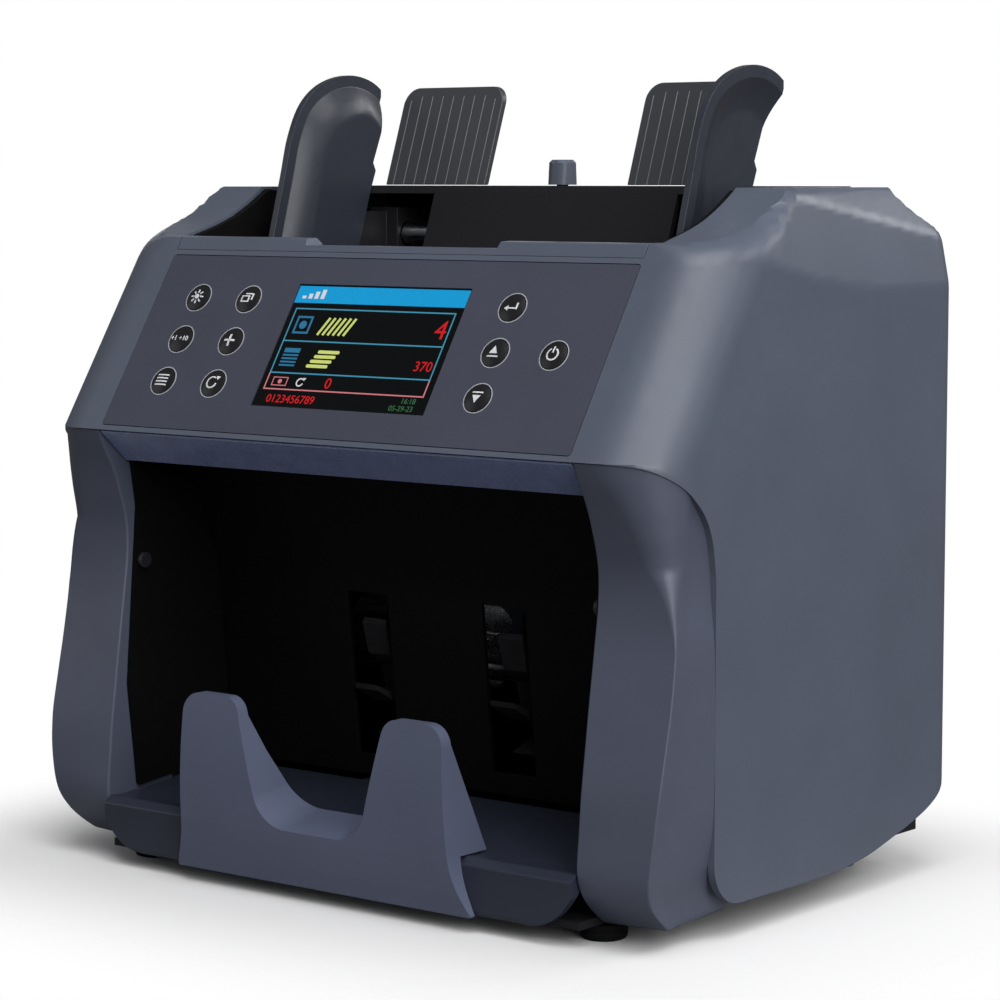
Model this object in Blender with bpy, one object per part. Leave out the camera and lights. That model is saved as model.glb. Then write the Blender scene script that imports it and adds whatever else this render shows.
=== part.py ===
"""Banknote counting machine, built as an assembly of separate pieces.

Every size below is in millimetres and MM turns it into metres when a mesh is made. In the
drafting frame X runs to the machine's right, Y runs from the nose of the hood towards the
back, and Z runs up from the table. ORIGIN_Y is the nose-relative depth of the part's origin,
which lies under the middle of the machine.
"""
import math

import bmesh
import bpy
from mathutils import Vector

MM = 0.001
ORIGIN_Y = 84.3          # depth of the part's origin behind the nose
GAP = 0.3                # clearance between pieces that touch

# Casing
HALF_WIDTH = 127.5
REAR_Y = 176.0
FRONT_CORNER = 23.0      # plan radius of the hood's front corners
REAR_CORNER = 12.0
WALL = 2.5
NOSE_Z = 146.8           # lower edge of the hood
PANEL_SLOPE = math.radians(57.4)
HOPPER_EDGE_Z = 209.9
PANEL_EDGE_Y = 33.6      # front edge of the side walls
CREASE = (134.0, 195.4)  # lowest point of the line above which the side walls lean in
CREASE_REACH = 95.0      # from that point forwards to where the line has risen by its full rise
CREASE_RISE = 15.0
SIDE_LEAN = 0.2
SHOULDER_LINE = (69.5, 226.5)  # start of the line above which they lean in further
SHOULDER_FALL = 0.157    # drop of that line per unit of depth
SHOULDER_LEAN = 0.55

# Openings and inner width
OPENING_X = 98.5         # half the stacker opening
FRAME_X = 98.2           # outer face of the steel side frames
FRAME_SHEET = 1.4
INNER_X = FRAME_X - FRAME_SHEET - GAP
HOPPER_X = 100.0         # half the hopper opening in the casing
COVER_X = 107.0          # half the rear opening

# Control panel, measured up the slope from the nose
BEZEL_X = 97.2
BEZEL_LOW = 2.1
BEZEL_HIGH = 67.7
BEZEL_THICK = 2.0
KEY_RADIUS = 4.8
KEY_LENGTH = 5.0
KEY_STEM = (3.0, 2.6)    # radius of the stem, and depth of the cap's underside
KEY_COLUMNS_LEFT = (-77.8, -55.2)
KEY_COLUMNS_RIGHT = (55.2, 77.8)
KEY_ROWS = (51.3, 35.3, 19.4)
SCREEN_X = (-35.5, 36.3)
SCREEN_SLOPE = (12.7, 57.5)

# Hopper
FEED_SLOPE = 0.354       # drop of the feed plate per unit of depth
LEAN = 0.354             # backward lean of the ribbed plates per unit of height
PLATE_TOP = (133.0, 261.6)
PLATE_THICK = 2.6
PLATE_X = (30.5, 75.3)
GUIDE_X = 80.0
GUIDE_SHEET = 2.4
GUIDE_FLARE = 4.6

# Guide drive
RAIL = (133.0, 210.0)
RAIL_RADIUS = 4.0
PINION_Y = (139.0, 143.0)
PINION_TEETH = 12
MODULE = 1.0
PITCH_RADIUS = PINION_TEETH * MODULE / 2

# Note transport: shaft centres as (depth, height)
SHAFT_RADIUS = 4.0
PICKUP_AXIS = (88.0, 178.9)
PICKUP_RADIUS = 15.0
FEED_AXIS = (117.0, 164.5)
FEED_RADIUS = 15.0
STACKER_AXIS = (84.0, 66.0)
STACKER_RADIUS = 29.0
MOTOR_AXIS = (138.0, 62.0)
MOTOR_RADIUS = 17.5
ROLLER_X = (22.0, 36.0)
BELT_X = (-112.0, -104.0)
PULLEYS = {"pickup": 9.0, "feed": 9.0, "stacker": 18.0, "motor": 6.0}

# Note sensors on the stacker's side walls
SENSOR_AXIS = (18.6, 101.5)
SENSOR_RADIUS = 2.7
SENSOR_THICK = 1.6

# Stand
BASE_Z = (5.5, 8.0)
BASE_X = 104.5
FOOT_X = 95.0
FOOT_Y = (22.0, 152.0)

# Rear cover
COVER_Z = (46.0, 205.0)
COVER_THICK = 3.0
HINGE = (171.5, 43.0)
HINGE_PIN_RADIUS = 1.5
LATCH_TRAVEL = 4.0
KNOB_AXIS = (0.0, 125.6)


# ---------------------------------------------------------------- materials

def plastic(name, colour, roughness, metallic=0.0, alpha=1.0):
    """Principled material in one colour."""
    material = bpy.data.materials.new(name)
    material.use_nodes = True
    shader = material.node_tree.nodes["Principled BSDF"]
    shader.inputs["Base Color"].default_value = (*colour, 1.0)
    shader.inputs["Roughness"].default_value = roughness
    shader.inputs["Metallic"].default_value = metallic
    shader.inputs["Alpha"].default_value = alpha
    material.diffuse_color = (*colour, alpha)
    return material


def make_materials():
    return {
        "casing": plastic("casing", (0.082, 0.092, 0.118), 0.42),
        "panel": plastic("panel", (0.05, 0.055, 0.075), 0.5),
        "guard": plastic("guard", (0.06, 0.068, 0.11), 0.4),
        "black": plastic("black", (0.012, 0.012, 0.014), 0.5),
        "key": plastic("key", (0.006, 0.006, 0.008), 0.15),
        "screen": plastic("screen", (0.004, 0.005, 0.008), 0.08),
        "smoked": plastic("smoked", (0.01, 0.014, 0.025), 0.1),
        "rubber": plastic("rubber", (0.02, 0.02, 0.02), 0.85),
        "roller": plastic("roller", (0.32, 0.1, 0.05), 0.7),
        "steel": plastic("steel", (0.45, 0.46, 0.48), 0.35, metallic=1.0),
        "frame": plastic("frame", (0.03, 0.03, 0.034), 0.5, metallic=0.6),
        "board": plastic("board", (0.02, 0.12, 0.05), 0.5),
    }


# ---------------------------------------------------------------- outlines

def rounded(corners, steps=4):
    """Closed outline from (u, v, radius) corners, each fillet in `steps` pieces."""
    outline = []
    count = len(corners)
    for index, (u, v, radius) in enumerate(corners):
        here = Vector((u, v))
        if radius <= 0:
            outline.append((u, v))
            continue
        before = (Vector(corners[index - 1][:2]) - here).normalized()
        after = (Vector(corners[(index + 1) % count][:2]) - here).normalized()
        half = before.angle(after) / 2
        reach = radius / math.tan(half)
        centre = here + (before + after).normalized() * radius / math.sin(half)
        start = (here + before * reach - centre).normalized()
        end = (here + after * reach - centre).normalized()
        for step in range(steps + 1):
            outline.append(tuple(centre + start.slerp(end, step / steps) * radius))
    return outline


def rectangle(u0, v0, u1, v1, radius=0.0):
    return rounded([(u0, v0, radius), (u1, v0, radius), (u1, v1, radius), (u0, v1, radius)])


def circle(centre_u, centre_v, radius, segments=24):
    return [(centre_u + radius * math.cos(math.tau * i / segments),
             centre_v + radius * math.sin(math.tau * i / segments)) for i in range(segments)]


def smooth_path(points, steps=3):
    """Open Catmull-Rom curve through the points."""
    path = []
    last = len(points) - 1
    for index in range(last):
        p0, p1 = points[max(index - 1, 0)], points[index]
        p2, p3 = points[index + 1], points[min(index + 2, last)]
        for step in range(steps):
            t = step / steps
            path.append(tuple(
                0.5 * (2 * b + (c - a) * t + (2 * a - 5 * b + 4 * c - d) * t * t
                       + (3 * b - a - 3 * c + d) * t ** 3)
                for a, b, c, d in zip(p0, p1, p2, p3)))
    path.append(tuple(points[last]))
    return path


def thick_line(points, thickness):
    """Closed outline of a sheet that follows the points, its thickness on the left."""
    offset = []
    last = len(points) - 1
    for index, point in enumerate(points):
        before = Vector(points[max(index - 1, 0)])
        after = Vector(points[min(index + 1, last)])
        here = Vector(point)
        first = (here - before).normalized() if index > 0 else (after - here).normalized()
        second = (after - here).normalized() if index < last else first
        normal = Vector((-(first + second).y, (first + second).x)).normalized()
        stretch = 1.0 / max(0.3, normal.dot(Vector((-first.y, first.x))))
        offset.append(tuple(here + normal * thickness * stretch))
    return list(points) + offset[::-1]


# ---------------------------------------------------------------- solids

def to_world(point):
    x, y, z = point
    return Vector((x, y - ORIGIN_Y, z)) * MM


def finish(name, bm, material, origin=(0.0, ORIGIN_Y, 0.0), sharp=30.0):
    """Turn a bmesh drawn in the drafting frame into an object standing on its origin."""
    pivot = to_world(origin)
    for vertex in bm.verts:
        vertex.co = to_world(vertex.co) - pivot
    bmesh.ops.recalc_face_normals(bm, faces=bm.faces)
    mesh = bpy.data.meshes.new(name)
    bm.to_mesh(mesh)
    bm.free()
    mesh.shade_smooth()
    mesh.set_sharp_from_angle(angle=math.radians(sharp))
    body = bpy.data.objects.new(name, mesh)
    body.location = pivot
    if material:
        mesh.materials.append(material)
    bpy.context.scene.collection.objects.link(body)
    return body


def skin(name, rings, material, origin=(0.0, ORIGIN_Y, 0.0), closed_path=False, sharp=30.0):
    """Solid skinned over rings of equal length, with flat ends unless the path is closed."""
    bm = bmesh.new()
    loops = [[bm.verts.new(point) for point in ring] for ring in rings]
    pairs = list(zip(loops, loops[1:]))
    if closed_path:
        pairs.append((loops[-1], loops[0]))
    count = len(loops[0])
    for lower, upper in pairs:
        for i in range(count):
            j = (i + 1) % count
            bm.faces.new((lower[i], lower[j], upper[j], upper[i]))
    if not closed_path:
        bm.faces.new(loops[0][::-1])
        bm.faces.new(loops[-1])
    return finish(name, bm, material, origin, sharp)


PLACE = {
    "x": lambda u, v, w: (w, u, v),
    "y": lambda u, v, w: (u, w, v),
    "z": lambda u, v, w: (u, v, w),
}


def prism(name, outline, axis, low, high, material=None, origin=(0.0, ORIGIN_Y, 0.0), sharp=30.0):
    """Outline extruded along an axis: (y, z) along x, (x, z) along y, (x, y) along z."""
    place = PLACE[axis]
    rings = [[place(u, v, w) for u, v in outline] for w in (low, high)]
    return skin(name, rings, material, origin, sharp=sharp)


def block(name, low, high, material=None, origin=(0.0, ORIGIN_Y, 0.0)):
    return prism(name, rectangle(low[0], low[1], high[0], high[1]), "z", low[2], high[2],
                 material, origin)


def turned(name, axis, centre, profile, material=None, segments=20, bored=False, origin=None):
    """Solid of revolution. profile holds (along, radius); a bored one is a closed loop."""
    place = PLACE[axis]
    rings = []
    for along, radius in profile:
        rings.append([place(u, v, along) for u, v in circle(*centre, radius, segments)])
    start = place(*centre, profile[0][0])
    return skin(name, rings, material, origin or start, closed_path=bored, sharp=40.0)


def rod(name, axis, centre, radius, low, high, material=None, segments=20, origin=None):
    return turned(name, axis, centre, [(low, radius), (high, radius)], material, segments,
                  origin=origin)


def combine(target, operation, tools):
    """Apply a Boolean with each tool in turn and remove the tools."""
    for tool in tools:
        modifier = target.modifiers.new(operation.lower(), "BOOLEAN")
        modifier.operation = operation
        modifier.solver = "EXACT"
        modifier.object = tool
        bpy.context.view_layer.update()
        graph = bpy.context.evaluated_depsgraph_get()
        result = bpy.data.meshes.new_from_object(target.evaluated_get(graph))
        target.modifiers.remove(modifier)
        old = target.data
        target.data = result
        result.name = target.name
        bpy.data.meshes.remove(old)
        bpy.data.objects.remove(tool)
    return target


def cut(target, *tools):
    return combine(target, "DIFFERENCE", tools)


def join(target, *tools):
    return combine(target, "UNION", tools)


def soften(target, width, segments=2, angle=40.0):
    """Bevel every edge sharper than the angle."""
    modifier = target.modifiers.new("edge_radius", "BEVEL")
    modifier.width = width * MM
    modifier.segments = segments
    modifier.limit_method = "ANGLE"
    modifier.angle_limit = math.radians(angle)
    return target


# ---------------------------------------------------------------- casing

def hood_front(z):
    """Depth of the hood's front surface at a height."""
    return max(0.0, z - NOSE_Z) / math.tan(PANEL_SLOPE)


def half_width(y, z):
    """Half the casing's width: upright low down, leaning in above two creases."""
    span = max(0.0, CREASE[0] - y) / CREASE_REACH
    crease = CREASE[1] + CREASE_RISE * span ** 2
    shoulder = SHOULDER_LINE[1] - SHOULDER_FALL * (y - SHOULDER_LINE[0])
    lean = SIDE_LEAN * max(0.0, z - crease)
    lean += SHOULDER_LEAN * max(0.0, z - shoulder)
    return HALF_WIDTH - lean


def casing_ring(z, inset):
    """Plan section of the casing at a height, drawn in from its outer face by the inset."""
    front = hood_front(z) + inset
    side = HALF_WIDTH - inset
    back = REAR_Y - inset
    front_r = FRONT_CORNER - inset
    rear_r = REAR_CORNER - inset
    right = []
    for step in range(7):
        turn = math.radians(90 * step / 6)
        right.append((side - front_r + front_r * math.sin(turn),
                      front + front_r - front_r * math.cos(turn)))
    start = front + front_r
    end = back - rear_r
    right += [(side, start + (end - start) * step / 6) for step in range(1, 6)]
    for step in range(5):
        turn = math.radians(90 * step / 4)
        right.append((side - rear_r + rear_r * math.cos(turn),
                      end + rear_r * math.sin(turn)))
    shifted = [(x - HALF_WIDTH + half_width(y, z), y) for x, y in right]
    left = [(-x, y) for x, y in shifted[::-1]]
    return [(x, y, z) for x, y in shifted + left]


def casing_loft(name, inset, low, high):
    heights = [low, 110.0, NOSE_Z, 185.0, 195.4]
    heights += [200.0 + 4.5 * step for step in range(6)]
    heights.append(high)
    return skin(name, [casing_ring(z, inset) for z in heights], None)


HOOD_EDGE = [(0.0, 146.8), (4.7, 145.9), (9.4, 144.0), (16.0, 140.3), (22.0, 135.9),
             (28.2, 129.6), (31.8, 121.8), (33.6, 111.0)]
SHOULDER = [(42.4, 209.9), (47.5, 211.2), (58.0, 214.1), (66.5, 217.2), (74.4, 221.2),
            (80.0, 224.6), (83.2, 226.8)]
REAR_SCOOP = [(151.6, 226.8), (152.6, 224.0), (156.5, 220.0), (162.2, 216.2),
              (169.0, 212.9), (178.0, 210.2)]
SIDE_BOTTOM = [(51.0, 10.8), (95.0, 10.4), (116.0, 11.9), (132.0, 15.0), (156.0, 21.5),
               (168.0, 28.0), (180.0, 38.0)]


def outer_case(materials):
    """One moulding: both side walls, the shoulders and the frame round the control panel."""
    low_corner = rounded([(PANEL_EDGE_Y, 60.0, 0), (PANEL_EDGE_Y, 10.6, 14.0),
                          (60.0, 10.6, 0)])[1:-1]
    outline = [(-10.0, NOSE_Z)] + HOOD_EDGE + low_corner + SIDE_BOTTOM
    outline += REAR_SCOOP[::-1] + SHOULDER[::-1] + [(-10.0, HOPPER_EDGE_Z)]
    case = casing_loft("outer_case", 0.0, 5.0, 231.0)
    combine(case, "INTERSECT", [prism("side_profile", outline, "x", -140.0, 140.0)])

    under = thick_line(REAR_SCOOP[::-1] + SHOULDER[::-1], WALL)[len(REAR_SCOOP + SHOULDER):]
    hollow_outline = [(-20.0, -20.0), (190.0, -20.0), (190.0, under[-1][1])]
    hollow_outline += under[::-1] + [(-20.0, under[0][1])]
    hollow = casing_loft("hollow", WALL, -5.0, 231.0)
    combine(hollow, "INTERSECT", [prism("hollow_profile", hollow_outline, "x", -150.0, 150.0)])
    cut(case, hollow,
        block("hopper_mouth", (-HOPPER_X, 44.0, 190.0), (HOPPER_X, 185.0, 240.0)),
        block("rear_mouth", (-COVER_X, 166.0, 5.0), (COVER_X, 185.0, 240.0)),
        panel_block("bezel_seat", (-BEZEL_X - GAP, BEZEL_X + GAP),
                    (BEZEL_LOW - GAP, BEZEL_HIGH + GAP), (-BEZEL_THICK - GAP, 6.0)),
        panel_block("panel_window", (-92.0, 92.0), (7.0, 63.0), (-12.0, 6.0)),
        panel_block("lip_seat", (-BEZEL_X - GAP, BEZEL_X + GAP), (69.9, 84.0), (-12.0, 6.0)))
    case.data.materials.append(materials["casing"])
    return case


# ---------------------------------------------------------------- control panel

UP_SLOPE = Vector((0.0, math.cos(PANEL_SLOPE), math.sin(PANEL_SLOPE)))
OUT_OF_PANEL = Vector((0.0, -math.sin(PANEL_SLOPE), math.cos(PANEL_SLOPE)))


def on_panel(x, slope, out=0.0):
    """Point at a distance up the slope from the nose and out of the panel's face."""
    return Vector((x, 0.0, NOSE_Z)) + UP_SLOPE * slope + OUT_OF_PANEL * out


def panel_prism(name, outline, low, high, material=None, origin=(0.0, ORIGIN_Y, 0.0)):
    """Outline in (x, slope) extruded out of the panel's face."""
    rings = [[on_panel(x, slope, out) for x, slope in outline] for out in (low, high)]
    return skin(name, rings, material, origin)


def panel_block(name, span_x, span_slope, span_out, material=None):
    outline = rectangle(span_x[0], span_slope[0], span_x[1], span_slope[1])
    return panel_prism(name, outline, span_out[0], span_out[1], material)


def key_places():
    """Key centres on the panel: six on the left, four on the right."""
    left = [(x, slope) for slope in KEY_ROWS for x in KEY_COLUMNS_LEFT]
    inner, outer = KEY_COLUMNS_RIGHT
    right = [(inner, KEY_ROWS[0]), (inner, KEY_ROWS[1]), (outer, KEY_ROWS[1]), (inner, KEY_ROWS[2])]
    return left + right


def control_panel(materials):
    """Overlay plate with its key holes and screen aperture, the window and the keys."""
    plate = panel_block("control_panel", (-BEZEL_X, BEZEL_X), (BEZEL_LOW, BEZEL_HIGH),
                        (-BEZEL_THICK, 0.0), materials["panel"])
    aperture = panel_block("aperture", (SCREEN_X[0] - GAP, SCREEN_X[1] + GAP),
                           (SCREEN_SLOPE[0] - GAP, SCREEN_SLOPE[1] + GAP), (-8.0, 8.0))
    holes = [panel_prism("hole", circle(x, slope, KEY_RADIUS + GAP, 16), -8.0, 8.0)
             for x, slope in key_places()]
    cut(plate, aperture, *holes)
    panel_block("screen_window", SCREEN_X, SCREEN_SLOPE, (-1.6, -0.1), materials["screen"])

    board = panel_block("control_board", (-89.0, 89.0), (9.0, 61.0), (-8.6, -7.0),
                        materials["board"])
    join(board, panel_block("display", (SCREEN_X[0] + 1, SCREEN_X[1] - 1), (13.5, 56.5),
                            (-7.5, -1.9)))

    for number, (x, slope) in enumerate(key_places(), start=1):
        stem, underside = KEY_STEM
        profile = [(-KEY_LENGTH, stem), (-underside, stem), (-underside, KEY_RADIUS),
                   (0.4, KEY_RADIUS), (1.1, KEY_RADIUS - 1.5)]
        rings = []
        for out, radius in profile:
            rings.append([on_panel(u, v, out) for u, v in circle(x, slope, radius, 16)])
        skin(f"key_{number}", rings, materials["key"], on_panel(x, slope), sharp=50.0)


# ---------------------------------------------------------------- front frame and stacker

# height, inner edge depth, outer corner x and depth, corner radius, x at the side wall
CHEEK_STATIONS = [
    (5.6, 17.5, 120.4, 20.5, 3.5, 120.4),
    (7.5, 14.5, 121.3, 17.0, 4.0, 121.2),
    (14.9, 6.5, 122.6, 8.2, 5.0, 122.2),
    (22.8, 3.0, 124.4, 4.0, 5.0, 123.6),
    (35.0, 3.8, 126.3, 3.6, 5.0, 125.4),
    (47.5, 5.0, 127.3, 4.9, 5.0, 126.4),
    (62.0, 7.0, 127.5, 8.0, 4.5, 127.0),
    (76.0, 9.0, 127.5, 11.0, 4.0, 127.2),
    (92.0, 11.5, 127.1, 13.4, 4.0, 126.4),
    (104.0, 13.2, 125.6, 13.8, 5.0, 124.4),
    (115.0, 13.0, 124.2, 12.0, 7.0, 122.9),
    (126.0, 10.3, 123.9, 8.6, 10.0, 123.4),
    (134.0, 7.8, 123.9, 6.4, 13.0, 124.2),
    (141.0, 4.5, 124.1, 4.6, 17.0, 124.3),
    (146.4, 3.0, 124.6, 3.0, 20.0, 124.6),
]
CHEEK_BACK = 33.2


def cheek(name, side, materials):
    """Upright of the front frame beside the stacker, with its S-shaped front."""
    rings = []
    for z, inner_y, corner_x, corner_y, radius, side_x in CHEEK_STATIONS:
        outline = rounded([(OPENING_X, CHEEK_BACK, 0), (OPENING_X, inner_y, 0.8),
                           (corner_x, corner_y, radius), (side_x, CHEEK_BACK, 0)])
        rings.append([(side * x, y, z) for x, y in outline])
    skin(name, rings, materials["casing"], sharp=50.0)


# rounding under each end of the tray's front ledge, as (x, z)
LEDGE_CORNER = [(80.0, 0.0), (80.0, 5.0), (87.0, 6.2), (92.5, 9.4), (96.4, 13.4), (99.0, 17.4),
                (99.0, 0.0)]


def stacker(materials):
    """Tray, finger guard, back plate and the smoked strip under the nose."""
    tray_outline = [(0.9, 5.0), (0.9, 20.9), (4.0, 23.0), (10.0, 22.5), (58.0, 28.0),
                    (58.0, 25.5), (10.0, 20.0), (6.0, 18.0), (4.0, 16.0), (4.0, 5.0)]
    tray = prism("stacker_tray", tray_outline, "x", -OPENING_X + GAP, OPENING_X - GAP,
                 materials["casing"])
    for side in (-1, 1):
        edge = sorted((side * INNER_X, side * 130.0))
        corner = [(side * x, z) for x, z in LEDGE_CORNER]
        cut(tray, block("frame_room", (edge[0], 15.5, 0.0), (edge[1], 80.0, 60.0)),
            prism("ledge_corner", corner, "y", -5.0, 7.0))

    half = [(0.0, 5.0, 0), (62.0, 5.0, 0.6), (56.4, 17.0, 36.0), (54.0, 64.2, 7.0),
            (31.2, 64.2, 6.0), (20.4, 24.6, 12.0), (0.0, 24.6, 0)]
    right = rounded(half, 5)[0:-1]
    outline = right + [(-x, z) for x, z in right[::-1]][:-1]
    guard = prism("finger_guard", outline, "y", -12.0, 20.0, materials["guard"])
    wedge = [(-0.9, 4.0), (-3.6, 12.0), (-5.7, 22.0), (-6.7, 34.0), (-6.8, 46.0), (-6.2, 58.0),
             (-5.2, 70.0), (-2.0, 70.0), (-2.0, 58.0), (13.6, 23.4), (0.6, 23.4), (0.6, 4.0)]
    combine(guard, "INTERSECT", [prism("wedge", wedge, "x", -70.0, 70.0)])
    soften(guard, 1.2)

    back_path = [(64.5, 29.0), (57.0, 100.0), (42.0, 134.0), (14.0, 141.5)]
    back = prism("stacker_back_plate", thick_line(back_path, 1.8), "x", -INNER_X, INNER_X,
                 materials["black"])
    for side in (-1, 1):
        edge = sorted((side * (ROLLER_X[0] - 2.0), side * (ROLLER_X[1] + 2.0)))
        cut(back, block("wheel_slot", (edge[0], 50.0, 36.0), (edge[1], 80.0, 92.0)))

    strip = [(1.0, 145.8), (2.8, 145.9), (12.6, 138.2), (12.6, 135.6)]
    prism("visor_strip", strip, "x", -98.0, 98.0, materials["smoked"])


# ---------------------------------------------------------------- hopper

def feed_height(y):
    """Height of the feed plate's top face at a depth."""
    return HOPPER_EDGE_Z - FEED_SLOPE * (y - 42.4)


def plate_depth(z):
    """Depth of the ribbed plates' front face at a height."""
    return PLATE_TOP[0] - LEAN * (PLATE_TOP[1] - z)


def hopper(materials):
    """Feed tray with its side walls, and the lip with the finger notch."""
    front, back = 47.6, 106.0
    profile = [(front, feed_height(front) - 3.0), (back, feed_height(back) - 3.0),
               (back, 223.0), (83.6, 226.0)]
    profile += [(y + 0.5, z - 0.6) for y, z in SHOULDER[-2:0:-1]]
    tray = prism("hopper_tray", profile, "x", -HOPPER_X + 0.5, HOPPER_X - 0.5,
                 materials["black"])
    room = [(front - 10.0, feed_height(front - 10.0)), (back + 10.0, feed_height(back + 10.0)),
            (back + 10.0, 250.0), (front - 10.0, 250.0)]
    cut(tray, prism("tray_room", room, "x", -97.2, 97.2))
    for side in (-1, 1):
        edge = sorted((side * (ROLLER_X[0] - 2.0), side * (ROLLER_X[1] + 2.0)))
        cut(tray, block("roller_slot", (edge[0], 76.0, 170.0), (edge[1], 102.0, 230.0)))

    lip_outline = [(36.9, 205.9), (40.2, 210.0), (45.0, 210.2), (47.3, 208.3), (47.3, 205.9)]
    lip = prism("hopper_lip", lip_outline, "x", -BEZEL_X, BEZEL_X, materials["casing"])
    notch = [(-43.0, 220.0), (-40.0, 207.8), (40.0, 207.8), (43.0, 220.0)]
    cut(lip, prism("grip_notch", notch, "y", 30.0, 60.0))


def ribbed_plate(name, side, materials):
    """Leaning plate that the notes rest against, grooved on its front face."""
    low = 227.4
    outline = rounded([(PLATE_X[0], low, 0), (PLATE_X[1], low, 0),
                       (PLATE_X[1], PLATE_TOP[1], 6.0), (PLATE_X[0], PLATE_TOP[1], 6.0)])
    rings = [[(side * x, plate_depth(z) + depth, z) for x, z in outline]
             for depth in (0.0, PLATE_THICK)]
    plate = skin(name, rings, materials["panel"])
    for rib in range(9):
        x = side * (PLATE_X[0] + 3.4 + 4.75 * rib)
        top = PLATE_TOP[1] - 8.0
        groove = [(x - 0.4, low - 2.0), (x + 0.4, low - 2.0), (x + 0.4, top), (x - 0.4, top)]
        rings = [[(gx, plate_depth(gz) + depth, gz) for gx, gz in groove]
                 for depth in (-1.0, 0.6)]
        cut(plate, skin("groove", rings, None))


GUIDE_FRONT = [(70.0, 202.0), (78.0, 230.0), (82.0, 244.0), (88.0, 255.0), (97.0, 262.0),
               (109.0, 265.6), (120.0, 265.2), (129.0, 261.6)]
GUIDE_REAR = [(130.4, 258.0), (129.0, 254.0), (126.0, 250.0), (119.6, 235.6), (121.6, 232.8),
              (118.6, 225.6), (108.0, 194.0), (104.0, 189.6)]


def hopper_guide(name, side, materials):
    """Sliding side guide: a flared fin on an arm, with a slider and a rack behind."""
    edge = smooth_path(GUIDE_FRONT, 2) + GUIDE_REAR
    edge = [(y, max(z, feed_height(y) + 0.6)) for y, z in edge]
    anchor = Vector((106.0, 208.0))
    bands = ((1.0, GUIDE_FLARE), (0.86, GUIDE_FLARE), (0.7, 0.0))
    inner, outer = [], []
    for scale, flare in bands:
        ring = [anchor + (Vector(point) - anchor) * scale for point in edge]
        inner.append([(side * (GUIDE_X + flare), y, z) for y, z in ring])
        outer.append([(side * (GUIDE_X + flare + GUIDE_SHEET), y, z) for y, z in ring])
    guide = skin(name, inner[::-1] + outer, materials["panel"],
                 origin=(side * GUIDE_X, RAIL[0], RAIL[1]), sharp=40.0)

    def span(near, far):
        return sorted((side * near, side * far))

    arm_x = span(GUIDE_X + 0.2, GUIDE_X + GUIDE_SHEET - 0.2)
    arm = block("arm", (arm_x[0], 104.0, 204.5), (arm_x[1], 130.0, 218.0))
    slider_x = span(GUIDE_X - 5.0, GUIDE_X + 8.0)
    slider = block("slider", (slider_x[0], 127.0, 201.0), (slider_x[1], 143.5, 219.5))
    rack_height = RAIL[1] + side * PITCH_RADIUS
    bar = rack_bar(side, rack_height)
    join(guide, arm, slider, bar)
    cut(guide, rod("rail_bore", "x", RAIL, RAIL_RADIUS + GAP, -140.0, 140.0, segments=16))


def rack_bar(side, pitch_height):
    """Toothed bar that reaches past the pinion from one guide."""
    pitch = math.pi * MODULE
    away = side                       # the bar's back is above the pinion on the right guide
    root = pitch_height + away * 1.15
    tip = pitch_height - away * 0.8
    back = pitch_height + away * 4.2
    start, end = -26.0, GUIDE_X - 3.0
    outline = [(end, back), (start, back)]
    outline.append((start, root))
    teeth = int((18.0 - start) / pitch)
    first = -pitch * (round(-start / pitch) - 0.5)
    for tooth in range(teeth):
        x = first + pitch * tooth
        outline += [(x - 0.95, root), (x - 0.32, tip), (x + 0.32, tip), (x + 0.95, root)]
    outline.append((end, root))
    outline = [(side * u, v) for u, v in outline]
    return prism("rack", outline, "y", PINION_Y[0], PINION_Y[1])


def guide_drive(materials):
    """Rail for the two guides and the pinion that makes them move together."""
    rod("guide_rail", "x", RAIL, RAIL_RADIUS, -INNER_X, INNER_X, materials["steel"], 20)
    outline = []
    for tooth in range(PINION_TEETH):
        middle = math.pi / 2 + math.tau * tooth / PINION_TEETH
        for radius, half_thickness in ((4.7, 0.85), (6.75, 0.25)):
            outline.append((radius, middle - half_thickness / radius))
        for radius, half_thickness in ((6.75, 0.25), (4.7, 0.85)):
            outline.append((radius, middle + half_thickness / radius))
    flat = [(r * math.cos(a), RAIL[1] + r * math.sin(a)) for r, a in outline]
    pinion = prism("guide_pinion", flat, "y", PINION_Y[0] + 0.3, PINION_Y[1] - 0.3,
                   materials["black"], origin=(0.0, PINION_Y[0], RAIL[1]))
    cut(pinion, rod("pinion_bore", "y", (0.0, RAIL[1]), 2.0 + GAP, 130.0, 150.0, segments=16))


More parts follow.
